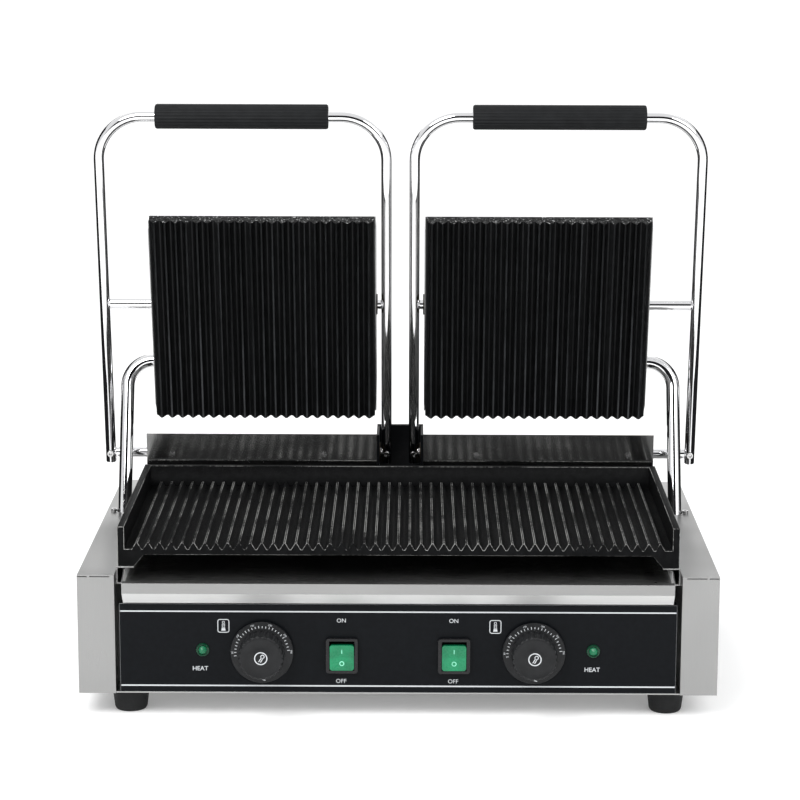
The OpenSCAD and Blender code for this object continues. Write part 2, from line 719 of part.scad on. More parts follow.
// One bent rod: two arms, two corners and the top bar
module handle(left) color("gainsboro") placed() handed(left) on_lid() difference() {
    union() {
        for (x = [inner_x, outer_x]) translate([x, 0, -arm_tail])
            cylinder(h = handle_l - handle_bend + arm_tail, d = rod_d);
        translate([0, 0, handle_l]) along_x(inner_x + handle_bend, arm_gap - 2 * handle_bend, rod_d);
        for (end = [0, 1]) translate([end ? outer_x - handle_bend : inner_x + handle_bend, 0,
            handle_l - handle_bend]) rotate([90, 0, 0]) rotate([0, 0, end ? 0 : 90])
            rotate_extrude(angle = 90) translate([handle_bend, 0]) circle(d = rod_d);
    }
    for (z = [0, bar_l]) translate([0, 0, z])
        along_x(inner_x + rod_d / 2 - spigot_l, arm_gap - rod_d + 2 * spigot_l, spigot_d + 2 * run_fit);
    for (x = [inner_x, outer_x]) translate([x, 0, 0]) {
        along_y(-rod_d, rod_d, screw_d + 2 * run_fit);
        along_y(-rod_d, rod_d / 2 + screw_seat, screw_head_d + 0.2);
    }
}

module grip(left) color("#232427") placed() handed(left) on_lid()
    translate([grip_x - grip_l / 2, 0, handle_l]) rotate([0, 90, 0]) difference() {
        rotate_extrude() polygon([[0, 0], [grip_d / 2 - 1.5, 0], [grip_d / 2, 1.5],
            [grip_d / 2, grip_l - 1.5], [grip_d / 2 - 1.5, grip_l], [0, grip_l]]);
        translate([0, 0, -1]) cylinder(h = grip_l + 2, d = rod_d + 2 * run_fit);
        for (a = [1 : grip_flutes]) rotate([0, 0, a * 360 / grip_flutes])
            translate([grip_d / 2 + 0.3, 0, 4]) cylinder(h = grip_l - 8, d = grip_flute_d, $fn = 16);
    }

// Bar between the two arms, with a thinner spigot in each
module lid_bar() {
    along_x(inner_x + rod_d / 2, arm_gap - rod_d, bar_d);
    along_x(inner_x + rod_d / 2 - spigot_l + 0.2, arm_gap - rod_d + 2 * spigot_l - 0.4, spigot_d);
}

module pivot_shaft(left) color("gainsboro") placed() handed(left) on_lid() lid_bar();

module crossbar(left) color("gainsboro") placed() handed(left) on_lid()
    translate([0, 0, bar_l]) lid_bar();

// Collar on the shaft that winds the spring
module spring_collar(left) color("slategray") placed() handed(left) on_lid() difference() {
    along_x(spring_x + spring_turns * spring_pitch + spring_wire / 2 + 0.3, collar_l, collar_d);
    along_x(0, outer_x, bar_d + 2 * run_fit);
}

module arm_screws(left) color("silver") placed() handed(left) on_lid()
    for (x = [inner_x, outer_x]) translate([x, -rod_d / 2 + screw_seat, 0]) rotate([90, 0, 0])
        socket_screw(screw_head_d, screw_head_t, rod_d / 2 - screw_seat - spigot_d / 2 - 0.1);

// Ribbed casting, with two bosses behind it that hang on the crossbar
module upper_plate(left) color("#1c1d1f") placed() handed(left) on_plate() difference() {
    union() {
        translate([upper_x + upper_w / 2, upper_mid, casting_back])
            rib_slab(upper_ribs, upper_w, upper_t - rib_h, upper_l);
        for (x = [upper_x + lug_in, upper_x + upper_w - lug_in - boss_t]) {
            along_x(x, boss_t, boss_d);
            translate([x, -boss_d / 2, 0]) cube([boss_t, boss_d, casting_back + eps]);
        }
    }
    along_x(upper_x, upper_w, bar_d + 2 * run_fit);
}

// Side view of the cover behind the casting, y up the plate and z to the front
module cover_side() polygon([[upper_low, casting_back], [upper_low + cover_slope, cover_rear],
    [upper_high - cover_slope, cover_rear], [upper_high, casting_back]]);

module across_plate(x0, x1) translate([x0, 0, 0]) rotate([90, 0, 90]) linear_extrude(x1 - x0) children();

// Cover whose sides lap over the casting and whose ends slope in behind it
module upper_cover(left) color("silver") placed() handed(left) on_plate() difference() {
    across_plate(cover_in, cover_out) {
        cover_side();
        polygon([[upper_low, casting_back], [upper_high, casting_back],
            [upper_high - cover_bare, cover_front], [upper_low + cover_bare, cover_front]]);
    }
    across_plate(upper_x - cover_gap, upper_x + upper_w + cover_gap) {
        offset(delta = -cover_t) cover_side();
        translate([upper_low - 1, casting_back - cover_t - eps]) intersection() {
            square([upper_l + 2, cover_back]);
            union() {
                translate([0, cover_t - cover_gap + eps]) square([upper_l + 2, cover_back]);
                translate([1 + 2.5 * cover_t, 0]) square([upper_l - 5 * cover_t, cover_back]);
            }
        }
    }
    along_x(0, outer_x, bush_outer());
    translate([0, joint_v, joint_w]) along_x(cover_out - 20, 40, conduit_bush_d());
}

module upper_elements(left) color("dimgray") placed() handed(left) on_plate()
    for (y = [-0.25, 0.25]) translate([upper_x + 50, upper_mid + y * upper_l, casting_back - element_d / 2])
        hairpin(upper_w - 110);

module bar_bushes(left) color("#c9a227") placed() handed(left) on_plate() {
    translate([cover_out, 0, 0]) bush(bar_d + 2 * run_fit, bush_wall, bush_l);
    translate([cover_in, 0, 0]) mirror([1, 0, 0]) bush(bar_d + 2 * run_fit, bush_wall, bush_l);
}

// ---------- conduits ----------

function conduit_bush_d() = conduit_d + 2 * run_fit + 3;

module conduit_bush(left) color("#1a1a1c") placed() handed(left) on_plate()
    translate([cover_out, joint_v, joint_w]) bush(conduit_d + 2 * run_fit, 1.5, 7);

module conduit_rod(d, extra) {
    along_x(cover_out - conduit_grip - extra, conduit_x - conduit_bend - cover_out + conduit_grip + extra, d);
    translate([conduit_x - conduit_bend, 0, -conduit_bend]) rotate([90, 0, 0])
        rotate_extrude(angle = 90) translate([conduit_bend, 0]) circle(d = d);
    translate([conduit_x, 0, -conduit_l - extra]) cylinder(h = conduit_l - conduit_bend + extra, d = d);
}

// Bent tube that carries the wiring from the body to the upper plate
module conduit(left) color("gainsboro") placed() handed(left) on_conduit() difference() {
    conduit_rod(conduit_d, 0);
    conduit_rod(conduit_bore, 1);
}

side_panel(true);  // side_panel_left
side_panel(false);  // side_panel_right
base_pan();
rear_panel();
rear_deck();
control_panel();
tray_runner(true);  // tray_runner_left
tray_runner(false);  // tray_runner_right
lower_plate();
lower_elements();
heat_shield();
rear_cover();
centre_bracket();
shaft_bushes();
torsion_springs();
feet();
foot_screws();
thermostats();
switch_housing(true);  // switch_housing_left
switch_housing(false);  // switch_housing_right
lamp_rims();
lamp_lenses();
terminal_block();
cord_gland();
conduit_guides();
guide_screws();
cover_screws();
grease_tray();
knob(true);  // knob_left
knob(false);  // knob_right
spindle(true);  // spindle_left
spindle(false);  // spindle_right
rocker(true);  // rocker_left
rocker(false);  // rocker_right
handle(true);  // handle_left
handle(false);  // handle_right
grip(true);  // grip_left
grip(false);  // grip_right
crossbar(true);  // crossbar_left
crossbar(false);  // crossbar_right
pivot_shaft(true);  // pivot_shaft_left
pivot_shaft(false);  // pivot_shaft_right
spring_collar(true);  // spring_collar_left
spring_collar(false);  // spring_collar_right
arm_screws(true);  // arm_screws_left
arm_screws(false);  // arm_screws_right
upper_plate(true);  // upper_plate_left
upper_plate(false);  // upper_plate_right
upper_cover(true);  // upper_cover_left
upper_cover(false);  // upper_cover_right
upper_elements(true);  // upper_elements_left
upper_elements(false);  // upper_elements_right
bar_bushes(true);  // bar_bushes_left
bar_bushes(false);  // bar_bushes_right
conduit_bush(true);  // conduit_bush_left
conduit_bush(false);  // conduit_bush_right
conduit(true);  // conduit_left
conduit(false);  // conduit_right
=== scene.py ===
import json
import math

import bmesh
import bpy
from bpy.props import FloatProperty, FloatVectorProperty, IntProperty, PointerProperty
from mathutils import Matrix, Vector


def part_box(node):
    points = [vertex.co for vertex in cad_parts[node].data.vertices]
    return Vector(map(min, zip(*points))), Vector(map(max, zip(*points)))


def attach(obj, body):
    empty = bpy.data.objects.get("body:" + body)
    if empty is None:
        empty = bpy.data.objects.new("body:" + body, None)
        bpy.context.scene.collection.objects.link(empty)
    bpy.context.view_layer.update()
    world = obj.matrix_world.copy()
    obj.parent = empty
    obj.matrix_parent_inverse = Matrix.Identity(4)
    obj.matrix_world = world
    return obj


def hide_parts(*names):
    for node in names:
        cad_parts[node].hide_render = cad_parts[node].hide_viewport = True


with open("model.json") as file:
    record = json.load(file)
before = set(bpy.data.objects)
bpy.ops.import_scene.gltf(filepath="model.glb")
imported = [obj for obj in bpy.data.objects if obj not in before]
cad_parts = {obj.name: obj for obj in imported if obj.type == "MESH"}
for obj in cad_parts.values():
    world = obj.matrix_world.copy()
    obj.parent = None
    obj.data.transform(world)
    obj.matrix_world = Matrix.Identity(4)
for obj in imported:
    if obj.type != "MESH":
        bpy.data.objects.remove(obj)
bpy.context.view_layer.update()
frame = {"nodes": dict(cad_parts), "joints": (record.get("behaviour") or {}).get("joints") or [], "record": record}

bl_info = {
    "name": "Double Contact Grill",
    "version": (1, 0, 0),
    "blender": (4, 5, 0),
    "location": "View3D > Sidebar > Grill",
    "description": "Builds the visible pieces of a double contact grill on its CAD frame",
    "category": "Object",
}

MM = 0.001
SIDES = (("left", -1), ("right", 1))
NODES = frame["nodes"]
ROCKER_REST = math.radians(7)
LAMP_RIM = 6 * MM
PRINT_LIFT = 0.07 * MM
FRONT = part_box("side_panel_right")[0].y
JOINTS = {j["name"]: j for j in frame["joints"]}


def centre(joint_name):
    """Point that a joint turns about, in metres."""
    return Vector(JOINTS[joint_name]["pos_m"])


# ---------- sizes and colours ----------


class GrillSizes(bpy.types.PropertyGroup):
    """Sizes of the visible pieces."""

    rod_d: FloatProperty(
        name="Handle rod", description="Diameter of the handle rod",
        default=10 * MM, unit="LENGTH")
    rod_bend: FloatProperty(
        name="Handle bend", description="Corner radius of the handle, on the rod's centre line",
        default=43 * MM, unit="LENGTH")
    arm_lean: FloatProperty(
        name="Arm lean", description="Forward lean of the open arms",
        default=math.radians(10), subtype="ANGLE")
    arm_tail: FloatProperty(
        name="Arm tail", description="Length of the arm below its pivot",
        default=10 * MM, unit="LENGTH")
    plate_lean: FloatProperty(
        name="Plate lean", description="Forward lean of the open upper plates",
        default=math.radians(14.8), subtype="ANGLE")
    conduit_d: FloatProperty(
        name="Conduit", description="Diameter of the conduit tube",
        default=13 * MM, unit="LENGTH")
    conduit_bend: FloatProperty(
        name="Conduit bend", description="Bend radius of the conduit, on its centre line",
        default=25 * MM, unit="LENGTH")
    grip_flutes: IntProperty(
        name="Grip flutes", description="Number of flutes round a grip",
        default=22, min=8)
    knob_flutes: IntProperty(
        name="Knob flutes", description="Number of flutes round a knob",
        default=24, min=8)
    dial_d: FloatProperty(
        name="Dial", description="Diameter of the dial behind the knob",
        default=56 * MM, unit="LENGTH")
    knob_d: FloatProperty(
        name="Knob", description="Diameter of the knob's grip",
        default=41 * MM, unit="LENGTH")
    sheet_edge: FloatProperty(
        name="Sheet edge", description="Rounding of folded sheet edges",
        default=0.55 * MM, unit="LENGTH")
    iron_edge: FloatProperty(
        name="Casting edge", description="Rounding of the castings' edges",
        default=0.36 * MM, unit="LENGTH")


class GrillColours(bpy.types.PropertyGroup):
    """Colours of the finishes."""

    steel: FloatVectorProperty(
        name="Brushed steel", description="Colour of the body's sheet steel",
        subtype="COLOR", default=(0.44, 0.44, 0.436), min=0, max=1)
    chrome: FloatVectorProperty(
        name="Chrome", description="Colour of the plated rods",
        subtype="COLOR", default=(0.84, 0.84, 0.85), min=0, max=1)
    iron: FloatVectorProperty(
        name="Cast iron", description="Colour of the seasoned castings",
        subtype="COLOR", default=(0.0042, 0.0044, 0.0047), min=0, max=1)
    bare_iron: FloatVectorProperty(
        name="Worn iron", description="Colour of the castings' rubbed edges",
        subtype="COLOR", default=(0.30, 0.30, 0.29), min=0, max=1)
    panel: FloatVectorProperty(
        name="Control panel", description="Colour of the control panel",
        subtype="COLOR", default=(0.0048, 0.0056, 0.0068), min=0, max=1)
    print_white: FloatVectorProperty(
        name="Print", description="Colour of the white print",
        subtype="COLOR", default=(0.58, 0.6, 0.62), min=0, max=1)
    grip: FloatVectorProperty(
        name="Grip", description="Colour of the grips",
        subtype="COLOR", default=(0.0095, 0.0102, 0.011), min=0, max=1)
    green: FloatVectorProperty(
        name="Rocker green", description="Colour of the lit rockers",
        subtype="COLOR", default=(0.002, 0.17, 0.07), min=0, max=1)


class GrillStage(bpy.types.PropertyGroup):
    """Camera and light."""

    lens: FloatProperty(
        name="Lens", description="Focal length of the camera",
        default=118.2, subtype="DISTANCE_CAMERA")
    pitch: FloatProperty(
        name="Pitch", description="Angle that the camera looks down",
        default=math.radians(11.46), subtype="ANGLE")
    yaw: FloatProperty(
        name="Yaw", description="Angle that the camera looks to the right",
        default=math.radians(-0.28), subtype="ANGLE")
    roll: FloatProperty(
        name="Roll", description="Roll of the camera",
        default=math.radians(0.15), subtype="ANGLE")
    place: FloatVectorProperty(
        name="Place", description="Where the camera stands",
        default=(0.01221, -2.43225, 0.74621), subtype="TRANSLATION")
    room_light: FloatProperty(
        name="Room light", description="Strength of the even light from the room",
        default=0.92, min=0)
    key_light: FloatProperty(
        name="Key light", description="Power of the large light above the front",
        default=34, min=0, unit="POWER")


def sizes():
    return bpy.context.scene.grill_sizes


def colours():
    return bpy.context.scene.grill_colours


# ---------- shader groups that several finishes use ----------


def group(name, inputs, outputs, build):
    """Shader node group with named sockets, built once."""
    made = bpy.data.node_groups.get(name)
    if made:
        return made
    made = bpy.data.node_groups.new(name, "ShaderNodeTree")
    for label, kind, value in inputs:
        made.interface.new_socket(label, in_out="INPUT", socket_type=kind).default_value = value
    for label in outputs:
        made.interface.new_socket(label, in_out="OUTPUT", socket_type="NodeSocketFloat")
    build(made.nodes, made.links, made.nodes.new("NodeGroupInput"), made.nodes.new("NodeGroupOutput"))
    return made


def maths(nodes, links, operation, a, b):
    """Math node on two values; each is a number or a socket."""
    n = nodes.new("ShaderNodeMath")
    n.operation = operation
    for i, value in enumerate((a, b)):
        if isinstance(value, (int, float)):
            n.inputs[i].default_value = value
        else:
            links.new(value, n.inputs[i])
    return n.outputs[0]


def spread(nodes, links, value, low, high, to_low=0.0, to_high=1.0):
    """A value softly stretched from one range to another."""
    n = nodes.new("ShaderNodeMapRange")
    n.interpolation_type = "SMOOTHSTEP"
    links.new(value, n.inputs["Value"])
    for label, v in (("From Min", low), ("From Max", high), ("To Min", to_low), ("To Max", to_high)):
        if isinstance(v, (int, float)):
            n.inputs[label].default_value = v
        else:
            links.new(v, n.inputs[label])
    return n.outputs["Result"]


def noise(nodes, links, vector, scale, detail=3.0, rough=0.55):
    """Noise on a vector; the scale is a number or a socket."""
    n = nodes.new("ShaderNodeTexNoise")
    n.inputs["Detail"].default_value, n.inputs["Roughness"].default_value = detail, rough
    links.new(vector, n.inputs["Vector"])
    if isinstance(scale, (int, float)):
        n.inputs["Scale"].default_value = scale
    else:
        links.new(scale, n.inputs["Scale"])
    return n.outputs["Fac"]


def rolled_grain():
    """Long fine lines of rolled and brushed sheet."""
    def build(nodes, links, given, out):
        place = nodes.new("ShaderNodeTexCoord")
        stretch = nodes.new("ShaderNodeVectorMath")
        stretch.operation = "MULTIPLY"
        links.new(place.outputs["Object"], stretch.inputs[0])
        links.new(given.outputs["Stretch"], stretch.inputs[1])
        fine = noise(nodes, links, stretch.outputs[0], 1.0, 4.0, 0.7)
        soft = noise(nodes, links, place.outputs["Object"], 7.0, 2.0)
        links.new(spread(nodes, links, fine, 0.25, 0.75), out.inputs["Grain"])
        links.new(spread(nodes, links, soft, 0.3, 0.7), out.inputs["Cloud"])
    return group("Rolled grain", [("Stretch", "NodeSocketVector", (60, 60, 2500))], ["Grain", "Cloud"], build)


def mottling():
    """Soft patches at two sizes, for casting skin, moulded plastic and fingered metal."""
    def build(nodes, links, given, out):
        place = nodes.new("ShaderNodeTexCoord").outputs["Object"]
        coarse = noise(nodes, links, place, given.outputs["Scale"], 3.0)
        fine_scale = maths(nodes, links, "MULTIPLY", given.outputs["Scale"], 9.0)
        fine = noise(nodes, links, place, fine_scale, 4.0, 0.65)
        links.new(spread(nodes, links, coarse, 0.3, 0.7), out.inputs["Patches"])
        links.new(spread(nodes, links, fine, 0.2, 0.8), out.inputs["Grit"])
    return group("Mottling", [("Scale", "NodeSocketFloat", 60.0)], ["Patches", "Grit"], build)


def rubbed_edge():
    """Broken mask of bare metal for faces that lie on a rubbed edge."""
    def build(nodes, links, given, out):
        place = nodes.new("ShaderNodeTexCoord").outputs["Object"]
        chips = noise(nodes, links, place, given.outputs["Chip scale"], 5.0, 0.7)
        runs = noise(nodes, links, place, 13.0, 2.0)
        both = maths(nodes, links, "ADD", chips, maths(nodes, links, "MULTIPLY", runs, 0.9))
        edge = maths(nodes, links, "SUBTRACT", 1.45, given.outputs["Amount"])
        top = maths(nodes, links, "ADD", edge, 0.22)
        turn = nodes.new("ShaderNodeVectorTransform")
        turn.vector_type, turn.convert_from, turn.convert_to = "NORMAL", "WORLD", "OBJECT"
        links.new(nodes.new("ShaderNodeNewGeometry").outputs["Normal"], turn.inputs[0])
        up = nodes.new("ShaderNodeSeparateXYZ")
        links.new(turn.outputs[0], up.inputs[0])
        exposed = spread(nodes, links, up.outputs["Z"], -0.5, -0.2)
        chipped = spread(nodes, links, both, edge, top)
        links.new(maths(nodes, links, "MULTIPLY", chipped, exposed), out.inputs["Bare"])
    inputs = [("Chip scale", "NodeSocketFloat", 500.0), ("Amount", "NodeSocketFloat", 0.6)]
    return group("Rubbed edge", inputs, ["Bare"], build)


def settled_dust():
    """Light dust and crumbs on faces that look up."""
    def build(nodes, links, given, out):
        up = nodes.new("ShaderNodeSeparateXYZ")
        links.new(nodes.new("ShaderNodeNewGeometry").outputs["Normal"], up.inputs[0])
        place = nodes.new("ShaderNodeTexCoord").outputs["Object"]
        specks = spread(nodes, links, noise(nodes, links, place, 900.0, 2.0), 0.56, 0.74)
        facing = spread(nodes, links, up.outputs["Z"], 0.3, 0.95)
        settled = maths(nodes, links, "MULTIPLY", specks, facing)
        links.new(maths(nodes, links, "MULTIPLY", settled, given.outputs["Amount"]), out.inputs["Dust"])
    return group("Settled dust", [("Amount", "NodeSocketFloat", 0.1)], ["Dust"], build)


class Finish:
    """A material with its Principled shader and short ways to feed it."""

    def __init__(self, name, rough=0.5, metal=0.0, coat=0.0, coat_rough=0.1, specular=0.5):
        self.material = bpy.data.materials.new(name)
        self.material.use_nodes = True
        tree = self.material.node_tree
        self.nodes, self.links = tree.nodes, tree.links
        self.shader = next(n for n in self.nodes if n.type == "BSDF_PRINCIPLED")
        for label, value in (("Roughness", rough), ("Metallic", metal), ("Coat Weight", coat),
                             ("Coat Roughness", coat_rough), ("Specular IOR Level", specular)):
            self.shader.inputs[label].default_value = value

    def place(self, made, **values):
        n = self.nodes.new("ShaderNodeGroup")
        n.node_tree = made
        for label, value in values.items():
            n.inputs[label.replace("_", " ")].default_value = value
        return n.outputs

    def blend(self, mask, a, b):
        """Colour between a and b; each is a colour or another blend."""
        n = self.nodes.new("ShaderNodeMix")
        n.data_type = "RGBA"
        self.links.new(mask, n.inputs["Factor"])
        for socket, value in ((n.inputs[6], a), (n.inputs[7], b)):
            if isinstance(value, bpy.types.NodeSocket):
                self.links.new(value, socket)
            else:
                socket.default_value = (*value[:3], 1)
        return n.outputs[2]

    def feed(self, label, socket):
        self.links.new(socket, self.shader.inputs[label])

    def ranged(self, label, mask, low, high):
        self.feed(label, spread(self.nodes, self.links, mask, 0.0, 1.0, low, high))

    def bump(self, height, distance, strength=1.0):
        n = self.nodes.new("ShaderNodeBump")
        n.inputs["Strength"].default_value, n.inputs["Distance"].default_value = strength, distance
        self.links.new(height, n.inputs["Height"])
        self.feed("Normal", n.outputs["Normal"])


def shade(colour, factor):
    return tuple(min(1.0, c * factor) for c in colour[:3])


# ---------- finishes ----------


def kept(build):
    """Builds a finish on first use and gives the same material afterwards."""
    made = {}

    def get(*args):
        if args not in made:
            made[args] = build(*args)
        return made[args]
    return get


@kept
def brushed_steel(name, stretch, rough=0.3, tone=1.0, metal=1.0):
    """Sheet steel whose grain runs along the axis with the small stretch."""
    f = Finish(name, metal=metal)
    grain = f.place(rolled_grain(), Stretch=stretch)
    # Tone scales the steel colour; the tones well above 1, given to the housing steel and to the tray's folds,
    # sides and lip return, are painted light.
    base = shade(colours().steel, tone)
    f.feed("Base Color", f.blend(grain["Grain"], shade(base, 0.965), shade(base, 1.035)))
    both = maths(f.nodes, f.links, "ADD", grain["Grain"], grain["Cloud"])
    f.ranged("Roughness", maths(f.nodes, f.links, "MULTIPLY", both, 0.5), rough * 0.8, rough * 1.25)
    f.bump(grain["Grain"], 0.008 * MM, 0.4)
    return f.material


@kept
def plated():
    """Bright plating of rods and tubes, with faint finger marks."""
    f = Finish("Plated rod", metal=1.0)
    marks = f.place(mottling(), Scale=22.0)
    f.feed("Base Color", f.blend(marks["Patches"], shade(colours().chrome, 0.965), colours().chrome))
    f.ranged("Roughness", marks["Grit"], 0.035, 0.085)
    return f.material


@kept
def cast_iron(name="Seasoned cast iron", rubbed=0.0, bare_tone=1.0):
    """Seasoned casting skin, or the same skin where an edge that looks up at rest is rubbed bare."""
    iron = colours().iron
    f = Finish(name, specular=0.07)
    skin = f.place(mottling(), Scale=150.0)
    colour = f.blend(skin["Patches"], shade(iron, 0.75), shade(iron, 1.35))
    dust = f.place(settled_dust(), Amount=0.1)
    colour = f.blend(dust["Dust"], colour, (0.2, 0.2, 0.19))
    if rubbed:
        bare = f.place(rubbed_edge(), Chip_scale=420.0, Amount=rubbed)
        colour = f.blend(bare["Bare"], colour, shade(colours().bare_iron, bare_tone))
        f.ranged("Metallic", bare["Bare"], 0.0, 0.35)
    f.feed("Base Color", colour)
    f.ranged("Roughness", skin["Grit"], 0.42, 0.62)
    f.bump(skin["Grit"], 0.16 * MM, 0.55)
    return f.material


@kept
def rib_flat_painted_sheen(name, tone):
    """Flat top, edge or floor of a rib, ground and cooked dull; its tone is painted sheen, most on rib tops, less
    on edges, least on the shaded floors.
    """
    f = Finish(name, specular=0.15)
    marks = f.place(rolled_grain(), Stretch=(900, 900, 30))
    worn = f.place(mottling(), Scale=45.0)
    colour = f.blend(marks["Grain"], shade(colours().iron, tone * 0.8), shade(colours().iron, tone * 1.2))
    f.feed("Base Color", f.blend(worn["Patches"], shade(colours().iron, tone * 0.6), colour))
    f.ranged("Roughness", worn["Grit"], 0.4, 0.6)
    f.bump(worn["Grit"], 0.05 * MM, 0.4)
    return f.material


def bright_grains():
    """Scattered bright grains of a rough casting."""
    def build(nodes, links, given, out):
        place = nodes.new("ShaderNodeTexCoord").outputs["Object"]
        spots = noise(nodes, links, place, given.outputs["Scale"], 1.0, 0.4)
        links.new(spread(nodes, links, spots, given.outputs["From"], 0.8), out.inputs["Grains"])
    inputs = [("Scale", "NodeSocketFloat", 400.0), ("From", "NodeSocketFloat", 0.6)]
    return group("Bright grains", inputs, ["Grains"], build)


@kept
def sand_skin():
    """Rough unground end of a casting, with bright grains."""
    f = Finish("Sand-cast end", specular=0.08)
    skin = f.place(mottling(), Scale=210.0)
    grains = f.place(bright_grains(), Scale=560.0, From=0.6)
    colour = f.blend(skin["Grit"], (0.002, 0.002, 0.0022), (0.009, 0.0094, 0.0098))
    f.feed("Base Color", f.blend(grains["Grains"], colour, (0.75, 0.76, 0.76)))
    f.ranged("Roughness", skin["Patches"], 0.4, 0.7)
    f.bump(skin["Grit"], 0.5 * MM, 0.9)
    return f.material


@kept
def black_paint(name, rough, tone=1.0):
    """Baked black paint on sheet steel."""
    f = Finish(name, specular=0.07)
    skin = f.place(mottling(), Scale=240.0)
    base = shade(colours().panel, tone)
    f.feed("Base Color", f.blend(skin["Patches"], shade(base, 0.9), shade(base, 1.12)))
    f.ranged("Roughness", skin["Grit"], rough * 0.85, rough * 1.2)
    f.bump(skin["Grit"], 0.02 * MM, 0.4)
    return f.material


@kept
def bare_panel_edge():
    """Cut edge of the painted panel, where the steel shows through."""
    f = Finish("Panel sheet edge", metal=0.6)
    bare = f.place(rubbed_edge(), Chip_scale=90.0, Amount=0.95)
    f.feed("Base Color", f.blend(bare["Bare"], (0.05, 0.052, 0.055), (0.42, 0.43, 0.44)))
    f.ranged("Roughness", bare["Bare"], 0.5, 0.3)
    return f.material


@kept
def ink():
    """White screen print."""
    f = Finish("White print", rough=0.5)
    skin = f.place(mottling(), Scale=500.0)
    f.feed("Base Color", f.blend(skin["Grit"], shade(colours().print_white, 0.86), colours().print_white))
    f.ranged("Roughness", skin["Patches"], 0.42, 0.6)
    return f.material


@kept
def moulded(name, colour, rough, grit=0.03, coat=0.0, specular=0.22):
    """Moulded plastic or rubber with a fine textured skin."""
    f = Finish(name, coat=coat, coat_rough=0.12, specular=specular)
    skin = f.place(mottling(), Scale=110.0)
    dust = f.place(settled_dust(), Amount=0.05)
    tint = f.blend(skin["Patches"], shade(colour, 0.85), shade(colour, 1.18))
    f.feed("Base Color", f.blend(dust["Dust"], tint, (0.3, 0.3, 0.3)))
    f.ranged("Roughness", skin["Grit"], rough * 0.85, min(1.0, rough * 1.18))
    f.bump(skin["Grit"], grit * MM, 0.5)
    return f.material


@kept
def green_plastic(name, tone):
    """Clear green plastic that glows a little from its lamp."""
    base = shade(colours().green, tone)
    f = Finish(name, coat=0.25, coat_rough=0.08, specular=0.3)
    skin = f.place(mottling(), Scale=70.0)
    colour = f.blend(skin["Patches"], shade(base, 0.8), shade(base, 1.2))
    f.feed("Base Color", colour)
    f.feed("Emission Color", colour)
    f.shader.inputs["Emission Strength"].default_value = 0.12
    f.ranged("Roughness", skin["Grit"], 0.22, 0.34)
    return f.material


@kept
def turned_metal(name, colour, rough, metal=1.0):
    """Screws, bushes, springs and sheathed rod."""
    f = Finish(name, metal=metal)
    skin = f.place(mottling(), Scale=260.0)
    f.feed("Base Color", f.blend(skin["Patches"], shade(colour, 0.82), colour))
    f.ranged("Roughness", skin["Grit"], rough * 0.8, rough * 1.3)
    f.bump(skin["Grit"], 0.01 * MM, 0.5)
    return f.material


ACROSS, UP, BACK = (45, 2600, 2600), (2600, 2600, 45), (2600, 45, 2600)


def satin_cover():
    """Duller steel of the upper covers and of the rear cover's back."""
    return brushed_steel("Satin cover steel", ACROSS, 0.36, 0.74)


def finish_for(slot):
    """Finish of a material slot in the record."""
    table = {
        "steel": lambda: brushed_steel("Body steel", UP, 0.32, 0.76),
        # The housing steel's tone of 2.1 is a painted highlight, standing in for the bright reflection on the rear
        # cover.
        "housing_steel": lambda: brushed_steel("Bright housing steel", ACROSS, 0.1, 2.1),
        "tray_steel": lambda: brushed_steel("Tray steel", ACROSS, 0.34, 0.74, 0.8),
        "plated": plated,
        "cast_iron": cast_iron,
        "black_steel": lambda: black_paint("Bracket paint", 0.4, 0.6),
        "panel_black": lambda: black_paint("Panel paint", 0.32),
        "grip_black": lambda: moulded("Grip plastic", tuple(colours().grip), 0.5, 0.03, 0.0, 0.13),
        "knob_black": lambda: moulded("Knob plastic", (0.012, 0.0125, 0.0135), 0.42, 0.02),
        "frame_black": lambda: moulded("Switch frame plastic", (0.008, 0.008, 0.009), 0.28, 0.01, 0.2),
        "rocker_green": lambda: green_plastic("Rocker green", 1.0),
        "lamp_green": lambda: green_plastic("Lamp green", 0.75),
        "rubber": lambda: moulded("Foot rubber", (0.010, 0.0105, 0.011), 0.62, 0.06),
        "bronze": lambda: turned_metal("Oiled bronze", (0.035, 0.03, 0.022), 0.5),
        "element_steel": lambda: turned_metal("Element sheath", (0.22, 0.20, 0.18), 0.42),
        "spring_steel": lambda: turned_metal("Spring wire", (0.25, 0.26, 0.28), 0.3),
        "screw_steel": lambda: turned_metal("Screw steel", (0.72, 0.72, 0.72), 0.2),
        "ceramic": lambda: moulded("Ceramic", (0.62, 0.58, 0.5), 0.5, 0.03),
        "nylon_black": lambda: moulded("Nylon", (0.012, 0.012, 0.012), 0.5, 0.02),
    }
    return table[slot]()


# ---------- making pieces ----------


def slot_of(node):
    return next(s["material_slot"] for s in frame["record"]["subparts"] if s["node"] == node)


def put(name, bm, body, slot, material=None, stands_for=(), sharp=32):
    """Turns a bmesh into a piece that rides on its CAD body."""
    mesh = bpy.data.meshes.new(name)
    bm.normal_update()
    bm.to_mesh(mesh)
    bm.free()
    mesh.shade_smooth()
    mesh.set_sharp_from_angle(angle=math.radians(sharp))
    piece = bpy.data.objects.new(name, mesh)
    bpy.context.scene.collection.objects.link(piece)
    mesh.materials.append(material or finish_for(slot))
    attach(piece, body)
    if stands_for:
        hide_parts(*stands_for)
    return piece


def copy_of(node):
    """The CAD solid's shape as clean faces, ready to be worked on."""
    bm = bmesh.new()
    bm.from_mesh(NODES[node].data)
    bmesh.ops.remove_doubles(bm, verts=bm.verts, dist=1e-6)
    bmesh.ops.dissolve_limit(bm, angle_limit=math.radians(0.8), verts=bm.verts, edges=bm.edges)
    return bm


def mark_outer_edges(bm, least=25):
    """Gives the edges that stand out of the piece the weight that rounds them."""
    weight = bm.edges.layers.float.get("bevel_weight_edge") or bm.edges.layers.float.new("bevel_weight_edge")
    for edge in bm.edges:
        if len(edge.link_faces) == 2 and edge.calc_face_angle_signed(0) > math.radians(least):
            edge[weight] = 1.0


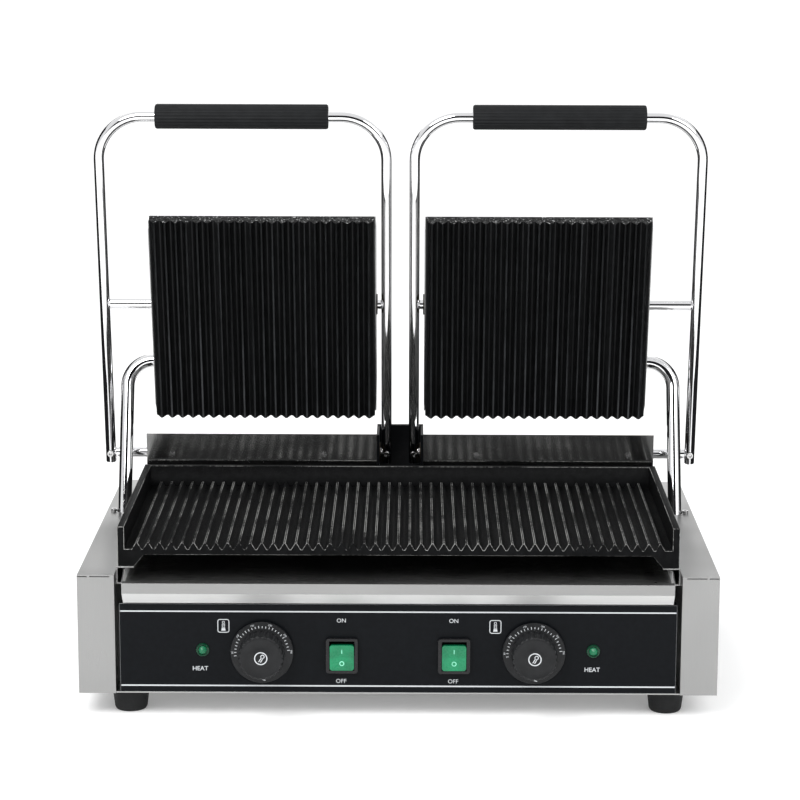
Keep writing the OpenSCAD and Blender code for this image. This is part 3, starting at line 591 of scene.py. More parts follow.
def rounded(piece, width, steps=2, edge_material=None):
    """Rounds the marked edges, and gives them their own finish if there is one."""
    bevel = piece.modifiers.new("Rounded edges", "BEVEL")
    bevel.limit_method, bevel.width, bevel.segments = "WEIGHT", width, steps
    bevel.harden_normals = True
    bevel.use_clamp_overlap = True
    if edge_material:
        piece.data.materials.append(edge_material)
        bevel.material = 1
    return piece


def dressed(node, body, width, steps=2, edge_material=None, material=None):
    """A piece of the CAD solid's shape with rounded edges, in place of the node."""
    bm = copy_of(node)
    mark_outer_edges(bm)
    piece = put(node + "_shell", bm, body, slot_of(node), material, (node,))
    return rounded(piece, width, steps, edge_material)


def ring(bm, points):
    """New vertices at the points."""
    return [bm.verts.new(p) for p in points]


def skin(bm, rings):
    """Faces between neighbouring rings of equal length, and a cap at each end."""
    for a, b in zip(rings, rings[1:]):
        n = len(a)
        for i in range(n):
            j = (i + 1) % n
            bm.faces.new((a[i], a[j], b[j], b[i]))
    bm.faces.new(list(reversed(rings[0])))
    bm.faces.new(rings[-1])


def in_mm(*stations):
    """Stations for turned(), from (distance, radius) and maybe (flute depth) in millimetres."""
    return [(along * MM, radius * MM, sum(depth) * MM) for along, radius, *depth in stations]


def turned(bm, axis, start, stations, sides=64, flutes=0):
    """Turned piece along an axis. Stations are (distance, radius, flute depth)."""
    axis = Vector(axis).normalized()
    side = axis.orthogonal().normalized()
    up = axis.cross(side)
    rings = []
    for along, radius, depth in stations:
        points = []
        for i in range(sides):
            a = 2 * math.pi * i / sides
            cut = depth * max(0.0, math.cos(flutes * a)) ** 0.6 if flutes else 0.0
            spoke = side * math.cos(a) + up * math.sin(a)
            points.append(Vector(start) + axis * along + spoke * (radius - cut))
        rings.append(ring(bm, points))
    skin(bm, rings)


def swept(bm, path, radius, sides=40):
    """Round rod along a path of points."""
    points = [Vector(p) for p in path]
    last = len(points) - 1
    ways = [(points[min(i + 1, last)] - points[max(i - 1, 0)]).normalized() for i in range(last + 1)]
    turns = [2 * math.pi * i / sides for i in range(sides)]
    side = ways[0].orthogonal().normalized()
    rings = []
    for i, (p, way) in enumerate(zip(points, ways)):
        if i:
            side = (side - way * side.dot(way)).normalized()
        up = way.cross(side)
        rings.append(ring(bm, [p + (side * math.cos(a) + up * math.sin(a)) * radius for a in turns]))
    skin(bm, rings)


def arc(centre_point, a, b, steps=18):
    """Points of a quarter turn about a centre, from offset a towards offset b."""
    return [Vector(centre_point) + Vector(a) * math.cos(t) + Vector(b) * math.sin(t)
            for t in (math.pi / 2 * i / steps for i in range(steps + 1))]


def from_pivot(pivot, lean, k):
    """Frame on a pivot that leans forward, with X towards the side k."""
    at_pivot = Matrix.Translation((0, pivot.y, pivot.z))
    return at_pivot @ Matrix.Rotation(lean, 4, "X") @ Matrix.Diagonal((k, 1, 1, 1))


def lid_frame(side, k):
    """Origin on the lid's pivot, Z up the open arms, X towards the outside."""
    pivot = centre(side + "_lid_lift")
    return from_pivot(pivot, sizes().arm_lean, k)


def facing_out(bm):
    """Turns every face of the closed shells outwards."""
    bmesh.ops.recalc_face_normals(bm, faces=bm.faces)


# ---------- flat print ----------


class Print:
    """Thin print on a surface: x to the right and y up in the surface's own plane."""

    def __init__(self, plane):
        self.bm = bmesh.new()
        self.plane = plane

    def point(self, x, y):
        return self.bm.verts.new(self.plane @ Vector((x * MM, -PRINT_LIFT, y * MM)))

    def face(self, points):
        self.bm.faces.new([self.point(x, y) for x, y in points])

    def bar(self, x0, y0, x1, y1):
        self.face([(x0, y0), (x1, y0), (x1, y1), (x0, y1)])

    def line(self, x0, y0, x1, y1, width):
        way = Vector((x1 - x0, y1 - y0)).normalized() * width / 2
        self.face([(x0 + way.y, y0 - way.x), (x1 + way.y, y1 - way.x),
                   (x1 - way.y, y1 + way.x), (x0 - way.y, y0 + way.x)])

    def band(self, inner, outer):
        n = len(inner)
        for i in range(n):
            j = (i + 1) % n
            self.face([inner[i], outer[i], outer[j], inner[j]])

    def hoop(self, x, y, radius, width, steps=48):
        turns = [2 * math.pi * i / steps for i in range(steps)]

        def at(r):
            return [(x + r * math.cos(a), y + r * math.sin(a)) for a in turns]
        self.band(at(radius - width), at(radius))

    def frame(self, x, y, w, h, corner, width):
        def at(grow):
            points = []
            for cx, cy, start in ((1, 1, 0), (-1, 1, 90), (-1, -1, 180), (1, -1, 270)):
                across, up = x + cx * (w / 2 - corner), y + cy * (h / 2 - corner)
                for i in range(7):
                    a = math.radians(start + 15 * i)
                    r = corner - grow
                    points.append((across + r * math.cos(a), up + r * math.sin(a)))
            return points
        self.band(at(width), at(0))

    def words(self, text, x, y, height, turn=0.0, bold=0.0):
        """Plain generic letters or numbers, centred on x and y."""
        curve = bpy.data.curves.new("Letters", "FONT")
        curve.body, curve.size, curve.align_x, curve.align_y = text, height * 1.38, "CENTER", "CENTER"
        curve.offset = bold
        curve.resolution_u = 3
        holder = bpy.data.objects.new("Letters", curve)
        mesh = bpy.data.meshes.new_from_object(holder)
        turned_by = Matrix.Rotation(turn, 4, "Z")
        verts = [self.point(x + p.x, y + p.y) for p in (turned_by @ v.co for v in mesh.vertices)]
        for polygon in mesh.polygons:
            self.bm.faces.new([verts[i] for i in polygon.vertices])
        bpy.data.objects.remove(holder)
        bpy.data.curves.remove(curve)
        bpy.data.meshes.remove(mesh)

    def done(self, name, body, material=None, slot="panel_black"):
        return put(name, self.bm, body, slot, material or ink())


# ---------- body ----------


def cut_away(bm, boxes):
    """Cuts boxes, given as pairs of corners, out of a mesh."""
    mesh = bpy.data.meshes.new("Cut")
    bm.to_mesh(mesh)
    bm.free()
    work = bpy.data.objects.new("Cut", mesh)
    bpy.context.scene.collection.objects.link(work)
    tool = bmesh.new()
    for low, high in boxes:
        low, high = Vector(low), Vector(high)
        made = bmesh.ops.create_cube(tool, size=1.0)["verts"]
        for v in made:
            v.co = Vector([low[i] + (v.co[i] + 0.5) * (high[i] - low[i]) for i in range(3)])
    tool_mesh = bpy.data.meshes.new("Cutter")
    tool.to_mesh(tool_mesh)
    tool.free()
    cutter = bpy.data.objects.new("Cutter", tool_mesh)
    bpy.context.scene.collection.objects.link(cutter)
    cut = work.modifiers.new("Cut", "BOOLEAN")
    cut.operation, cut.solver, cut.object = "DIFFERENCE", "EXACT", cutter
    bpy.context.view_layer.update()
    done = bmesh.new()
    done.from_object(work, bpy.context.evaluated_depsgraph_get())
    for o in (work, cutter):
        bpy.data.objects.remove(o)
    return done


def make_side_panels():
    """Folded side panels, with the open joint where the top meets the front."""
    for side, k in SIDES:
        node = "side_panel_" + side
        low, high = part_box(node)
        outer = high.x if k > 0 else low.x
        top = high.z
        cuts = []
        joint_low, joint_high, joint_deep = top - 1.75 * MM, top - 0.95 * MM, low.y + 2.5 * MM
        for start, end in ((0.5, 9.0), (11.2, 29.0)):
            x = sorted((outer - k * start * MM, outer - k * end * MM))
            cuts.append(((x[0], low.y - MM, joint_low), (x[1], joint_deep, joint_high)))
        bm = cut_away(copy_of(node), cuts)
        mark_outer_edges(bm)
        piece = put(node + "_shell", bm, "base", "steel", None, (node,))
        rounded(piece, sizes().sheet_edge, 3)


def make_body_sheets():
    """Base pan, deck, rear panel, runners and shield in brushed sheet."""
    for node, grain in (("base_pan", ACROSS), ("rear_panel", ACROSS), ("rear_deck", ACROSS),
                        ("tray_runner_left", BACK), ("tray_runner_right", BACK), ("heat_shield", ACROSS)):
        sheet = brushed_steel("Sheet " + node.replace("_", " "), grain, 0.3, 0.95)
        dressed(node, "base", 0.25 * MM, material=sheet)


def make_control_panel():
    """Black control panel with its bright cut edges and white print."""
    dressed("control_panel", "base", 0.35 * MM, 2, bare_panel_edge())
    low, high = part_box("control_panel")
    half = (high.x - low.x) / 2 / MM
    p = Print(Matrix.Translation((0, low.y, 0)))
    bottom, top = low.z / MM, high.z / MM
    line_end = half - 0.6
    p.bar(-line_end, bottom + 5.2, line_end, bottom + 6.5)
    p.bar(-line_end, top - 7.5, line_end, top - 6.3)
    switch_words, heat_words = 3.9, 4.1
    lamp_x, heat_z, sign_z, sign_from_knob = 174, 44.9, 84.5, 34.4
    for side, k in SIDES:
        switch = centre(side + "_rocker_press") / MM
        p.words("ON", switch.x - 0.4, switch.z + 31.6, switch_words)
        p.words("OFF", switch.x - 0.7, switch.z - 24.4, switch_words)
        p.words("HEAT", k * lamp_x + (-2.4 if k < 0 else -0.8), heat_z, heat_words, bold=0.035)
        x, z = centre(side + "_knob_turn").x / MM - sign_from_knob, sign_z
        p.frame(x, z, 10.6, 12.5, 2.2, 0.7)
        p.hoop(x, z + 3.3, 1.25, 0.5, 24)
        for step in (-1.4, 0.0, 1.4):
            p.line(x - 1.5, z + step, x + 1.5, z + step, 0.5)
        p.line(x - 1.0, z - 1.6, x - 1.0, z + 2.2, 0.4)
        p.line(x + 1.0, z - 1.6, x + 1.0, z + 2.2, 0.4)
        p.face([(x - 1.9, z - 4.4), (x + 1.9, z - 4.4), (x + 1.5, z - 2.0), (x - 1.5, z - 2.0)])
    p.done("control_panel_print", "base")


def make_knobs():
    """Dials with their scale, and the fluted grips in front of them."""
    s = sizes()
    for side, _ in SIDES:
        hub = centre(side + "_knob_turn")
        node = "knob_" + side
        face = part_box(node)[0].y
        dial_back, dial_face = FRONT - 2.1 * MM, FRONT - 4.6 * MM
        bm = bmesh.new()
        dial, grip, deep = s.dial_d / 2 / MM, s.knob_d / 2 / MM, (dial_face - face) / MM
        turned(bm, (0, -1, 0), (hub.x, dial_back, hub.z),
               in_mm((0, dial - 0.8), (0.4, dial), (1.5, dial), (2.2, dial - 0.4), (2.5, dial - 1.2)), 96)
        stations = in_mm((0, grip, 0.9), (deep - 2.2, grip - 0.35, 0.9), (deep - 0.9, grip - 0.8, 0.8),
                         (deep - 0.25, grip - 1.7, 0.35), (deep - 0.02, grip - 2.8), (deep - 0.3, grip - 3.6),
                         (deep - 0.45, 9.2), (deep - 0.2, 8.4), (deep - 0.1, 7.8))
        turned(bm, (0, -1, 0), (hub.x, dial_face + 0.1 * MM, hub.z), stations, s.knob_flutes * 10, s.knob_flutes)
        turned(bm, (0, 1, 0), (hub.x, dial_back - 0.1 * MM, hub.z), in_mm((0, 6), (3.0, 6)), 32)
        facing_out(bm)
        put(node + "_body", bm, side + "_knob", "knob_black", None, (node,), 28)
        p = Print(Matrix.Translation((hub.x, dial_face, hub.z)))
        marks, first_mark, mark_step, mark_inner = 25, 187, 7.55, 22.7
        for i in range(marks):
            a = math.radians(first_mark - i * mark_step)
            tip = 25.0 if i % 4 == 0 else 24.6
            p.line(mark_inner * math.cos(a), mark_inner * math.sin(a), tip * math.cos(a), tip * math.sin(a), 0.62)
        numbers, first_number, number_step, number_radius = 6, 180, 35.5, 26.2
        for i in range(numbers):
            a = math.radians(first_number - i * number_step)
            heat = str(50 * (i + 1))
            p.words(heat, number_radius * math.cos(a), number_radius * math.sin(a), 1.65, a - math.pi / 2)
        p.line(0.3, -24.6, 3.0, -25.6, 0.9)
        p.done(node + "_scale", side + "_knob", slot="knob_black")
        p = Print(Matrix.Translation((hub.x, face + 0.1 * MM, hub.z)))
        p.hoop(0, 0, 5.9, 0.95)
        p.line(-1.9, -3.2, 0.6, 1.0, 0.8)
        p.line(-0.3, -3.6, 2.0, 0.4, 0.8)
        p.hoop(1.5, 1.7, 1.9, 0.75, 24)
        p.done(node + "_mark", side + "_knob", slot="knob_black")


def make_switches():
    """Rocker switches: black frames and lit green rockers with I and O marks."""
    pale = moulded("Rocker marks", (0.25, 0.7, 0.5), 0.4, 0.01)
    for side, _ in SIDES:
        dressed("switch_housing_" + side, "base", 0.5 * MM, 3)
        node = "rocker_" + side
        bm = copy_of(node)
        corners = [e for e in bm.edges if len(e.link_faces) == 2 and e.calc_face_angle(0) > 1.2
                   and abs((e.verts[0].co - e.verts[1].co).normalized().x) < 0.1
                   and all(abs(f.normal.y) < 0.5 for f in e.link_faces)]
        bmesh.ops.bevel(bm, geom=corners, offset=2.3 * MM, segments=6, profile=0.5, affect="EDGES")
        mark_outer_edges(bm, 24)
        # The rounded edges take a lighter copy of the green: a painted highlight.
        rounded(put(node + "_cap", bm, side + "_rocker", "rocker_green", None, (node,)), 0.6 * MM, 3,
                green_plastic("Rocker green edge", 1.5))
        pivot = centre(side + "_rocker_press")
        tilt = Matrix.Translation(pivot) @ Matrix.Rotation(ROCKER_REST, 4, "X")
        lean = math.atan2(1.6, 12.15)
        face_y, mark_z = -8.8 * MM, 6.1 * MM
        for name, z, turn in (("on", mark_z, lean), ("off", -mark_z, -lean)):
            p = Print(tilt @ Matrix.Translation((0, face_y, z)) @ Matrix.Rotation(turn, 4, "X"))
            if name == "on":
                p.bar(-0.45, -2.4, 0.45, 1.9)
            else:
                p.hoop(0, 0.4, 2.2, 0.75, 32)
            p.done(node + "_" + name + "_mark", side + "_rocker", pale, "rocker_green")


def make_lamps():
    """Pilot lamps: a green rim round a cut green lens."""
    low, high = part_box("lamp_lenses")
    z = (low.z + high.z) / 2
    rims, lenses = bmesh.new(), bmesh.new()
    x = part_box("lamp_rims")[1].x - LAMP_RIM
    for k in (-1, 1):
        start = (k * x, FRONT + 1.5 * MM, z)
        turned(rims, (0, -1, 0), start, in_mm((-0.3, 5.2), (0, 6), (1.1, 6), (1.75, 5.6),
                                              (2.0, 5.0), (1.75, 4.4), (0.9, 4.1), (0.6, 1)), 48)
        turned(lenses, (0, -1, 0), start, in_mm((0, 3.9), (1.9, 3.8), (2.9, 2.9), (3.6, 1.7), (4.2, 0.8)), 8)
    facing_out(rims)
    facing_out(lenses)
    rim_green, lens_green = green_plastic("Lamp rim green", 0.22), green_plastic("Lamp lens green", 0.75)
    put("lamp_rims_turned", rims, "base", "lamp_green", rim_green, ("lamp_rims",))
    put("lamp_lenses_cut", lenses, "base", "lamp_green", lens_green, ("lamp_lenses",), 8)


def make_tray():
    """Pull-out grease tray with its folded lip and the rivet of its stop."""
    low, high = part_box("grease_tray")
    bm = copy_of("grease_tray")
    mark_outer_edges(bm)
    for face in bm.faces:
        way = face.normal
        inward = way.x * face.calc_center_median().x < 0
        if inward and abs(way.x) > 0.9 and face.calc_area() > 500 * MM * MM:
            face.material_index = 2
        elif way.z > 0.9:
            face.material_index = 3
        elif -0.95 < way.y < -0.2 and way.z < 0:
            face.material_index = 4
    piece = put("grease_tray_shell", bm, "tray", "tray_steel", None, ("grease_tray",))
    # The rounded folds take a lighter steel: a painted highlight along the folds.
    rounded(piece, 0.38 * MM, 3, brushed_steel("Tray folds", ACROSS, 0.24, 1.7, 0.9))
    # The inner side walls and the downward lip return are lighter copies of the tray steel: painted light standing
    # in for front light on faces that the plate shades. The floor stays plain.
    for finish in (brushed_steel("Tray sides", BACK, 0.5, 1.7, 0.3),
                   brushed_steel("Tray floor", ACROSS, 0.25, 0.9, 0.95),
                   brushed_steel("Tray lip return", ACROSS, 0.4, 1.9, 0.6)):
        piece.data.materials.append(finish)
    bm = bmesh.new()
    turned(bm, (0, 0, 1), (high.x - 15 * MM, FRONT + 20 * MM, low.z + 14.3 * MM),
           in_mm((0, 2.2), (0.5, 2.0), (0.95, 1.3), (1.1, 0.5)), 24)
    put("tray_rivet", bm, "tray", "tray_steel", finish_for("screw_steel"))


def make_lower_plate():
    """Ribbed lower casting with rubbed rib edges and rim tops."""
    node = "lower_plate"
    low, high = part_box(node)
    bm = copy_of(node)
    mark_outer_edges(bm)
    for face in bm.faces:
        middle = face.calc_center_median()
        at_side = min(middle.x - low.x, high.x - middle.x) < 8 * MM
        if at_side and face.normal.z > 0.99 and middle.z > high.z - 0.5 * MM:
            face.material_index = 2
    piece = put(node + "_shell", bm, "base", slot_of(node), None, (node,))
    rounded(piece, sizes().iron_edge, 2, cast_iron("Rubbed lower edges", 0.6, 1.25))
    piece.data.materials.append(cast_iron("Rubbed rim tops", 0.72, 0.55))


def make_rear_housing():
    """Bright cover over the springs, its front and top faces in steel painted bright, and the black bracket in its
    notch.
    """
    low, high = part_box("rear_cover")
    bm = copy_of("rear_cover")
    lean = 3 * MM
    for v in bm.verts:
        if v.co.y < low.y + 2 * MM:
            v.co.y += lean * (high.z - v.co.z) / (high.z - low.z)
    mark_outer_edges(bm)
    for face in bm.faces:
        # Faces that look back take the plain satin steel; the others keep the housing steel painted bright.
        if face.normal.y > 0.2:
            face.material_index = 1
    piece = put("rear_cover_shell", bm, "base", "housing_steel", None, ("rear_cover",))
    piece.data.materials.append(satin_cover())
    rounded(piece, sizes().sheet_edge, 3)
    dressed("centre_bracket", "base", 0.4 * MM, 2)


def make_feet():
    """Tapered rubber feet."""
    low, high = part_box("feet")
    widest = 17.0
    x, y0, y1 = high.x - widest * MM, low.y + widest * MM, high.y - widest * MM
    stations = in_mm((0, 12.3), (0.35, 13.4), (1.6, 14.4), (3.2, 14.85), (12, 15.9),
                     (20.8, 16.9), (21.6, widest), (22, 16.6))
    bm = bmesh.new()
    for cx in (-x, x):
        for cy in (y0, y1):
            turned(bm, (0, 0, 1), (cx, cy, 0), stations)
    put("feet_moulded", bm, "base", "rubber", None, ("feet",), 50)


# ---------- lids ----------


def make_handles():
    """Bent and plated handle rods."""
    s = sizes()
    for side, k in SIDES:
        node = "handle_" + side
        low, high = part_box(node)
        r = s.rod_d / 2
        inner = min(abs(low.x), abs(high.x)) + r
        outer = max(abs(low.x), abs(high.x)) - r
        length = (high.z - r - centre(side + "_lid_lift").z) / math.cos(s.arm_lean)
        b = s.rod_bend
        path = [(inner, 0, -s.arm_tail + z * MM) for z in (0, 2)]
        path += [(inner, 0, z * (length - b)) for z in (0.1, 0.4, 0.7, 0.95)]
        path += arc((inner + b, 0, length - b), (-b, 0, 0), (0, 0, b))
        path += arc((outer - b, 0, length - b), (0, 0, b), (b, 0, 0))
        path += [(outer, 0, z * (length - b)) for z in (0.95, 0.7, 0.4, 0.1)]
        path += [(outer, 0, -s.arm_tail + z * MM) for z in (2, 0)]
        bm = bmesh.new()
        swept(bm, path, r)
        bm.transform(lid_frame(side, k))
        facing_out(bm)
        mark_outer_edges(bm, 60)
        rounded(put(node + "_rod", bm, side + "_lid", "plated", None, (node,)), 0.7 * MM, 3)


def make_grips():
    """Fluted plastic grips on the handles' top bars."""
    s = sizes()
    for side, _ in SIDES:
        node = "grip_" + side
        low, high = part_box(node)
        length, radius = high.x - low.x, (high.z - low.z) / 2
        middle = (low + high) / 2
        deep = 0.5 * MM
        ends = [(0, radius - 1.6 * MM, 0), (0.25 * MM, radius - 1.0 * MM, 0.1 * MM),
                (0.8 * MM, radius - 0.4 * MM, 0.4 * MM), (1.8 * MM, radius, deep)]
        stations = ends + [(length * f, radius, deep) for f in (0.25, 0.5, 0.75)]
        stations += [(length - a, r, d) for a, r, d in reversed(ends)]
        bm = bmesh.new()
        turned(bm, (1, 0, 0), (low.x, middle.y, middle.z), stations, s.grip_flutes * 10, s.grip_flutes)
        facing_out(bm)
        put(node + "_fluted", bm, side + "_lid", "grip_black", None, (node,), 40)


def make_bars():
    """Plated crossbars and pivot shafts."""
    for side, _ in SIDES:
        for node in ("crossbar_" + side, "pivot_shaft_" + side):
            low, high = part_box(node)
            radius = (high.z - low.z) / 2
            middle = (low + high) / 2
            length = high.x - low.x
            end = 6.8 * MM
            bm = bmesh.new()
            half = [(0, 2.6 * MM, 0), (0.3 * MM, 3 * MM, 0), (end, 3 * MM, 0),
                    (end + 0.02 * MM, radius - 0.5 * MM, 0), (end + 0.5 * MM, radius, 0)]
            stations = half + [(length / 2, radius, 0)] + [(length - a, r, d) for a, r, d in reversed(half)]
            turned(bm, (1, 0, 0), (low.x, middle.y, middle.z), stations, 40)
            facing_out(bm)
            put(node + "_bar", bm, side + "_lid", "plated", None, (node,), 40)


def make_lid_fittings():
    """Collars and the socket screws at the pivots."""
    for side, _ in SIDES:
        dressed("spring_collar_" + side, side + "_lid", 0.3 * MM)
        dressed("arm_screws_" + side, side + "_lid", 0.35 * MM, 3)


def make_upper_plates():
    """Ribbed upper castings with rough ends, and painted sheen on the rib edges, tops and floors, under bright
    covers.
    """
    for side, _ in SIDES:
        node = "upper_plate_" + side
        low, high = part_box(node)
        lean = Vector((0, -math.sin(sizes().plate_lean), math.cos(sizes().plate_lean)))
        bm = copy_of(node)

        def is_side(face):
            x = face.calc_center_median().x
            return abs(face.normal.x) > 0.99 and (x - low.x < 2 * MM or high.x - x < 2 * MM)

        outer = [e for e in bm.edges if len(e.link_faces) == 2 and any(is_side(f) for f in e.link_faces)
                 and any(abs(f.normal.dot(lean)) > 0.99 for f in e.link_faces)]
        bmesh.ops.bevel(bm, geom=outer, offset=2.4 * MM, segments=4, profile=0.5,
                        affect="EDGES", clamp_overlap=True)
        bm.normal_update()
        mark_outer_edges(bm)
        ahead = Vector((0, -math.cos(sizes().plate_lean), -math.sin(sizes().plate_lean)))
        tips = max(v.co.dot(ahead) for v in bm.verts)
        for face in bm.faces:
            if abs(face.normal.dot(lean)) > 0.9:
                face.material_index = 2
            elif face.normal.dot(ahead) > 0.99:
                face.material_index = 3 if face.calc_center_median().dot(ahead) > tips - MM else 4
        piece = put(node + "_shell", bm, side + "_plate", slot_of(node), None, (node,))
        # Rib edges, tops and floors take lighter tones of the iron: painted sheen where edges and flats catch the
        # light, dimmer on the shaded floors.
        rounded(piece, 0.62 * MM, 3, rib_flat_painted_sheen("Rib edges", 6.5))
        for finish in (sand_skin(), rib_flat_painted_sheen("Rib tops", 9.5), rib_flat_painted_sheen("Rib floors", 3.8)):
            piece.data.materials.append(finish)
        dressed("upper_cover_" + side, side + "_plate", 0.45 * MM, 3, None, satin_cover())


def make_conduits():
    """Plated wiring conduits with their bend."""
    s = sizes()
    for side, k in SIDES:
        node = "conduit_" + side
        low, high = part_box(node)
        pivot = centre(side + "_conduit_swing")
        r, b = s.conduit_d / 2, s.conduit_bend
        x_out = max(abs(low.x), abs(high.x)) - r
        x_in = min(abs(low.x), abs(high.x))
        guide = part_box("conduit_guides")
        guide_y, top = (guide[0].y + guide[1].y) / 2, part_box("side_panel_right")[1].z
        lean = math.atan2(pivot.y - guide_y, pivot.z - top)
        length = (pivot.z - low.z - r * math.sin(lean)) / math.cos(lean)
        path = [(x_in + t * (x_out - b - x_in), 0, 0) for t in (0, 0.3, 0.7, 0.97)]
        path += arc((x_out - b, 0, -b), (0, 0, b), (b, 0, 0), 22)
        path += [(x_out, 0, -b - t * (length - b)) for t in (0.03, 0.25, 0.5, 0.75, 1.0)]
        bm = bmesh.new()
        swept(bm, path, r)
        bm.transform(from_pivot(pivot, -lean, k))
        facing_out(bm)
        put(node + "_tube", bm, side + "_conduit", "plated", None, (node,))


# ---------- what stays as the CAD made it ----------


def finish_fittings():
    """Gives each fitting that keeps its CAD shape the finish of its slot."""
    for entry in frame["record"]["subparts"]:
        node = NODES[entry["node"]]
        if node.hide_render:
            continue
        finish = finish_for(entry["material_slot"])
        if not node.material_slots:
            node.data.materials.append(finish)
        for slot in node.material_slots:
            slot.material = finish


# ---------- stage ----------


def black_cards():
    """Dark cards round the set that only show as streaks in bright metal."""
    bm = bmesh.new()

    def card(*corners):
        bm.faces.new([bm.verts.new(p) for p in corners])

    def floor_card(x0, y0, x1, y1):
        lift = 0.002
        card((x0, y0, lift), (x1, y0, lift), (x1, y1, lift), (x0, y1, lift))

    beside, behind = 0.42, 1.6
    for k in (-1, 1):
        a, b = Vector((1.15 * k, -0.05, 0)), Vector((0.5 * k, 1.2, 0))
        high = Vector((0, 0, 0.9))
        card(a, b, b + high, a + high)
        floor_card(beside * k, -0.3, 2.5 * k, behind)
    card((-4, -5, -0.1), (4, -5, -0.1), (4, -5, 4.0), (-4, -5, 4.0))
    floor_card(-beside, 0.55, beside, behind)
    mesh = bpy.data.meshes.new("Black cards")
    bm.to_mesh(mesh)
    bm.free()
    f = Finish("Black card", rough=1.0, specular=0.0)
    patches = f.place(mottling(), Scale=4.0)["Patches"]
    f.feed("Base Color", f.blend(patches, (0.008, 0.008, 0.009), (0.012, 0.012, 0.013)))
    mesh.materials.append(f.material)
    cards = bpy.data.objects.new("Black cards", mesh)
    bpy.context.scene.collection.objects.link(cards)
    cards.visible_camera = cards.visible_diffuse = cards.visible_shadow = cards.visible_transmission = False
    return [cards]


def make_stage():
    """Camera, pale floor and soft studio light."""
    scene = bpy.context.scene
    s = scene.grill_stage
    camera = bpy.data.objects.new("Camera", bpy.data.cameras.new("Camera"))
    scene.collection.objects.link(camera)
    scene.camera = camera
    camera.data.lens, camera.data.sensor_width = s.lens, 36.0
    camera.data.clip_end = 200.0
    level = math.cos(s.pitch)
    ahead = Vector((math.sin(s.yaw) * level, math.cos(s.yaw) * level, -math.sin(s.pitch)))
    right = Vector((math.cos(s.yaw), -math.sin(s.yaw), 0))
    up = right.cross(ahead)
    right_r = right * math.cos(s.roll) + up * math.sin(s.roll)
    up_r = up * math.cos(s.roll) - right * math.sin(s.roll)
    camera.matrix_world = Matrix.Translation(s.place) @ Matrix((right_r, up_r, -ahead)).transposed().to_4x4()

    bm = bmesh.new()
    bmesh.ops.create_grid(bm, x_segments=4, y_segments=4, size=40)
    mesh = bpy.data.meshes.new("Floor")
    bm.to_mesh(mesh)
    bm.free()
    floor = bpy.data.objects.new("Floor", mesh)
    scene.collection.objects.link(floor)
    f = Finish("Pale floor", rough=0.9, specular=0.1)
    patches = f.place(mottling(), Scale=3.0)
    f.feed("Base Color", f.blend(patches["Patches"], (0.93, 0.93, 0.93), (0.95, 0.95, 0.95)))
    f.shader.inputs["Emission Color"].default_value = (1, 1, 1, 1)
    f.shader.inputs["Emission Strength"].default_value = 0.16
    mesh.materials.append(f.material)
    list(black_cards())

    world = bpy.data.worlds.new("Studio")
    scene.world = world
    world.use_nodes = True
    nodes, links = world.node_tree.nodes, world.node_tree.links
    back = nodes["Background"]
    parts = nodes.new("ShaderNodeSeparateXYZ")
    links.new(nodes.new("ShaderNodeTexCoord").outputs["Generated"], parts.inputs[0])
    mix = nodes.new("ShaderNodeMix")
    mix.data_type = "RGBA"
    links.new(spread(nodes, links, parts.outputs["Y"], 0.2, 0.9), mix.inputs["Factor"])
    in_front, behind = (0.96, 0.965, 0.97, 1), (1.45, 1.45, 1.45, 1)
    mix.inputs[6].default_value, mix.inputs[7].default_value = in_front, behind
    links.new(mix.outputs[2], back.inputs["Color"])
    back.inputs["Strength"].default_value = s.room_light

    fill = 0.35
    aim = Vector((0, 0.05, 0.2))
    for name, spot, size, power in (("Key light", (-0.9, -1.5, 1.9), 1.5, s.key_light),
                                    ("Fill light", (1.4, -1.2, 1.3), 1.2, s.key_light * fill)):
        light = bpy.data.lights.new(name, "AREA")
        light.shape, light.size, light.energy = "DISK", size, power
        holder = bpy.data.objects.new(name, light)
        scene.collection.objects.link(holder)
        holder.location = spot
        holder.rotation_euler = (aim - Vector(spot)).to_track_quat("-Z", "Y").to_euler()
    scene.view_settings.view_transform = "Standard"


# ---------- operators ----------


class GRILL_OT_stage(bpy.types.Operator):
    """Make the camera, the floor and the light"""

    bl_idname = "grill.stage"
    bl_label = "Stage"
    bl_options = {"REGISTER", "UNDO"}

    def execute(self, context):
        make_stage()
        return {"FINISHED"}


class GRILL_OT_side_panels(bpy.types.Operator):
    """Make the folded side panels"""

    bl_idname = "grill.side_panels"
    bl_label = "Side Panels"
    bl_options = {"REGISTER", "UNDO"}

    def execute(self, context):
        make_side_panels()
        return {"FINISHED"}


class GRILL_OT_body_sheets(bpy.types.Operator):
    """Make the body's other sheets"""

    bl_idname = "grill.body_sheets"
    bl_label = "Body Sheets"
    bl_options = {"REGISTER", "UNDO"}

    def execute(self, context):
        make_body_sheets()
        return {"FINISHED"}


class GRILL_OT_control_panel(bpy.types.Operator):
    """Make the control panel and its print"""

    bl_idname = "grill.control_panel"
    bl_label = "Control Panel"
    bl_options = {"REGISTER", "UNDO"}

    def execute(self, context):
        make_control_panel()
        return {"FINISHED"}


class GRILL_OT_knobs(bpy.types.Operator):
    """Make the knobs and their dials"""

    bl_idname = "grill.knobs"
    bl_label = "Knobs"
    bl_options = {"REGISTER", "UNDO"}

    def execute(self, context):
        make_knobs()
        return {"FINISHED"}


class GRILL_OT_switches(bpy.types.Operator):
    """Make the rocker switches"""

    bl_idname = "grill.switches"
    bl_label = "Switches"
    bl_options = {"REGISTER", "UNDO"}

    def execute(self, context):
        make_switches()
        return {"FINISHED"}


class GRILL_OT_lamps(bpy.types.Operator):
    """Make the pilot lamps"""

    bl_idname = "grill.lamps"
    bl_label = "Pilot Lamps"
    bl_options = {"REGISTER", "UNDO"}

    def execute(self, context):
        make_lamps()
        return {"FINISHED"}


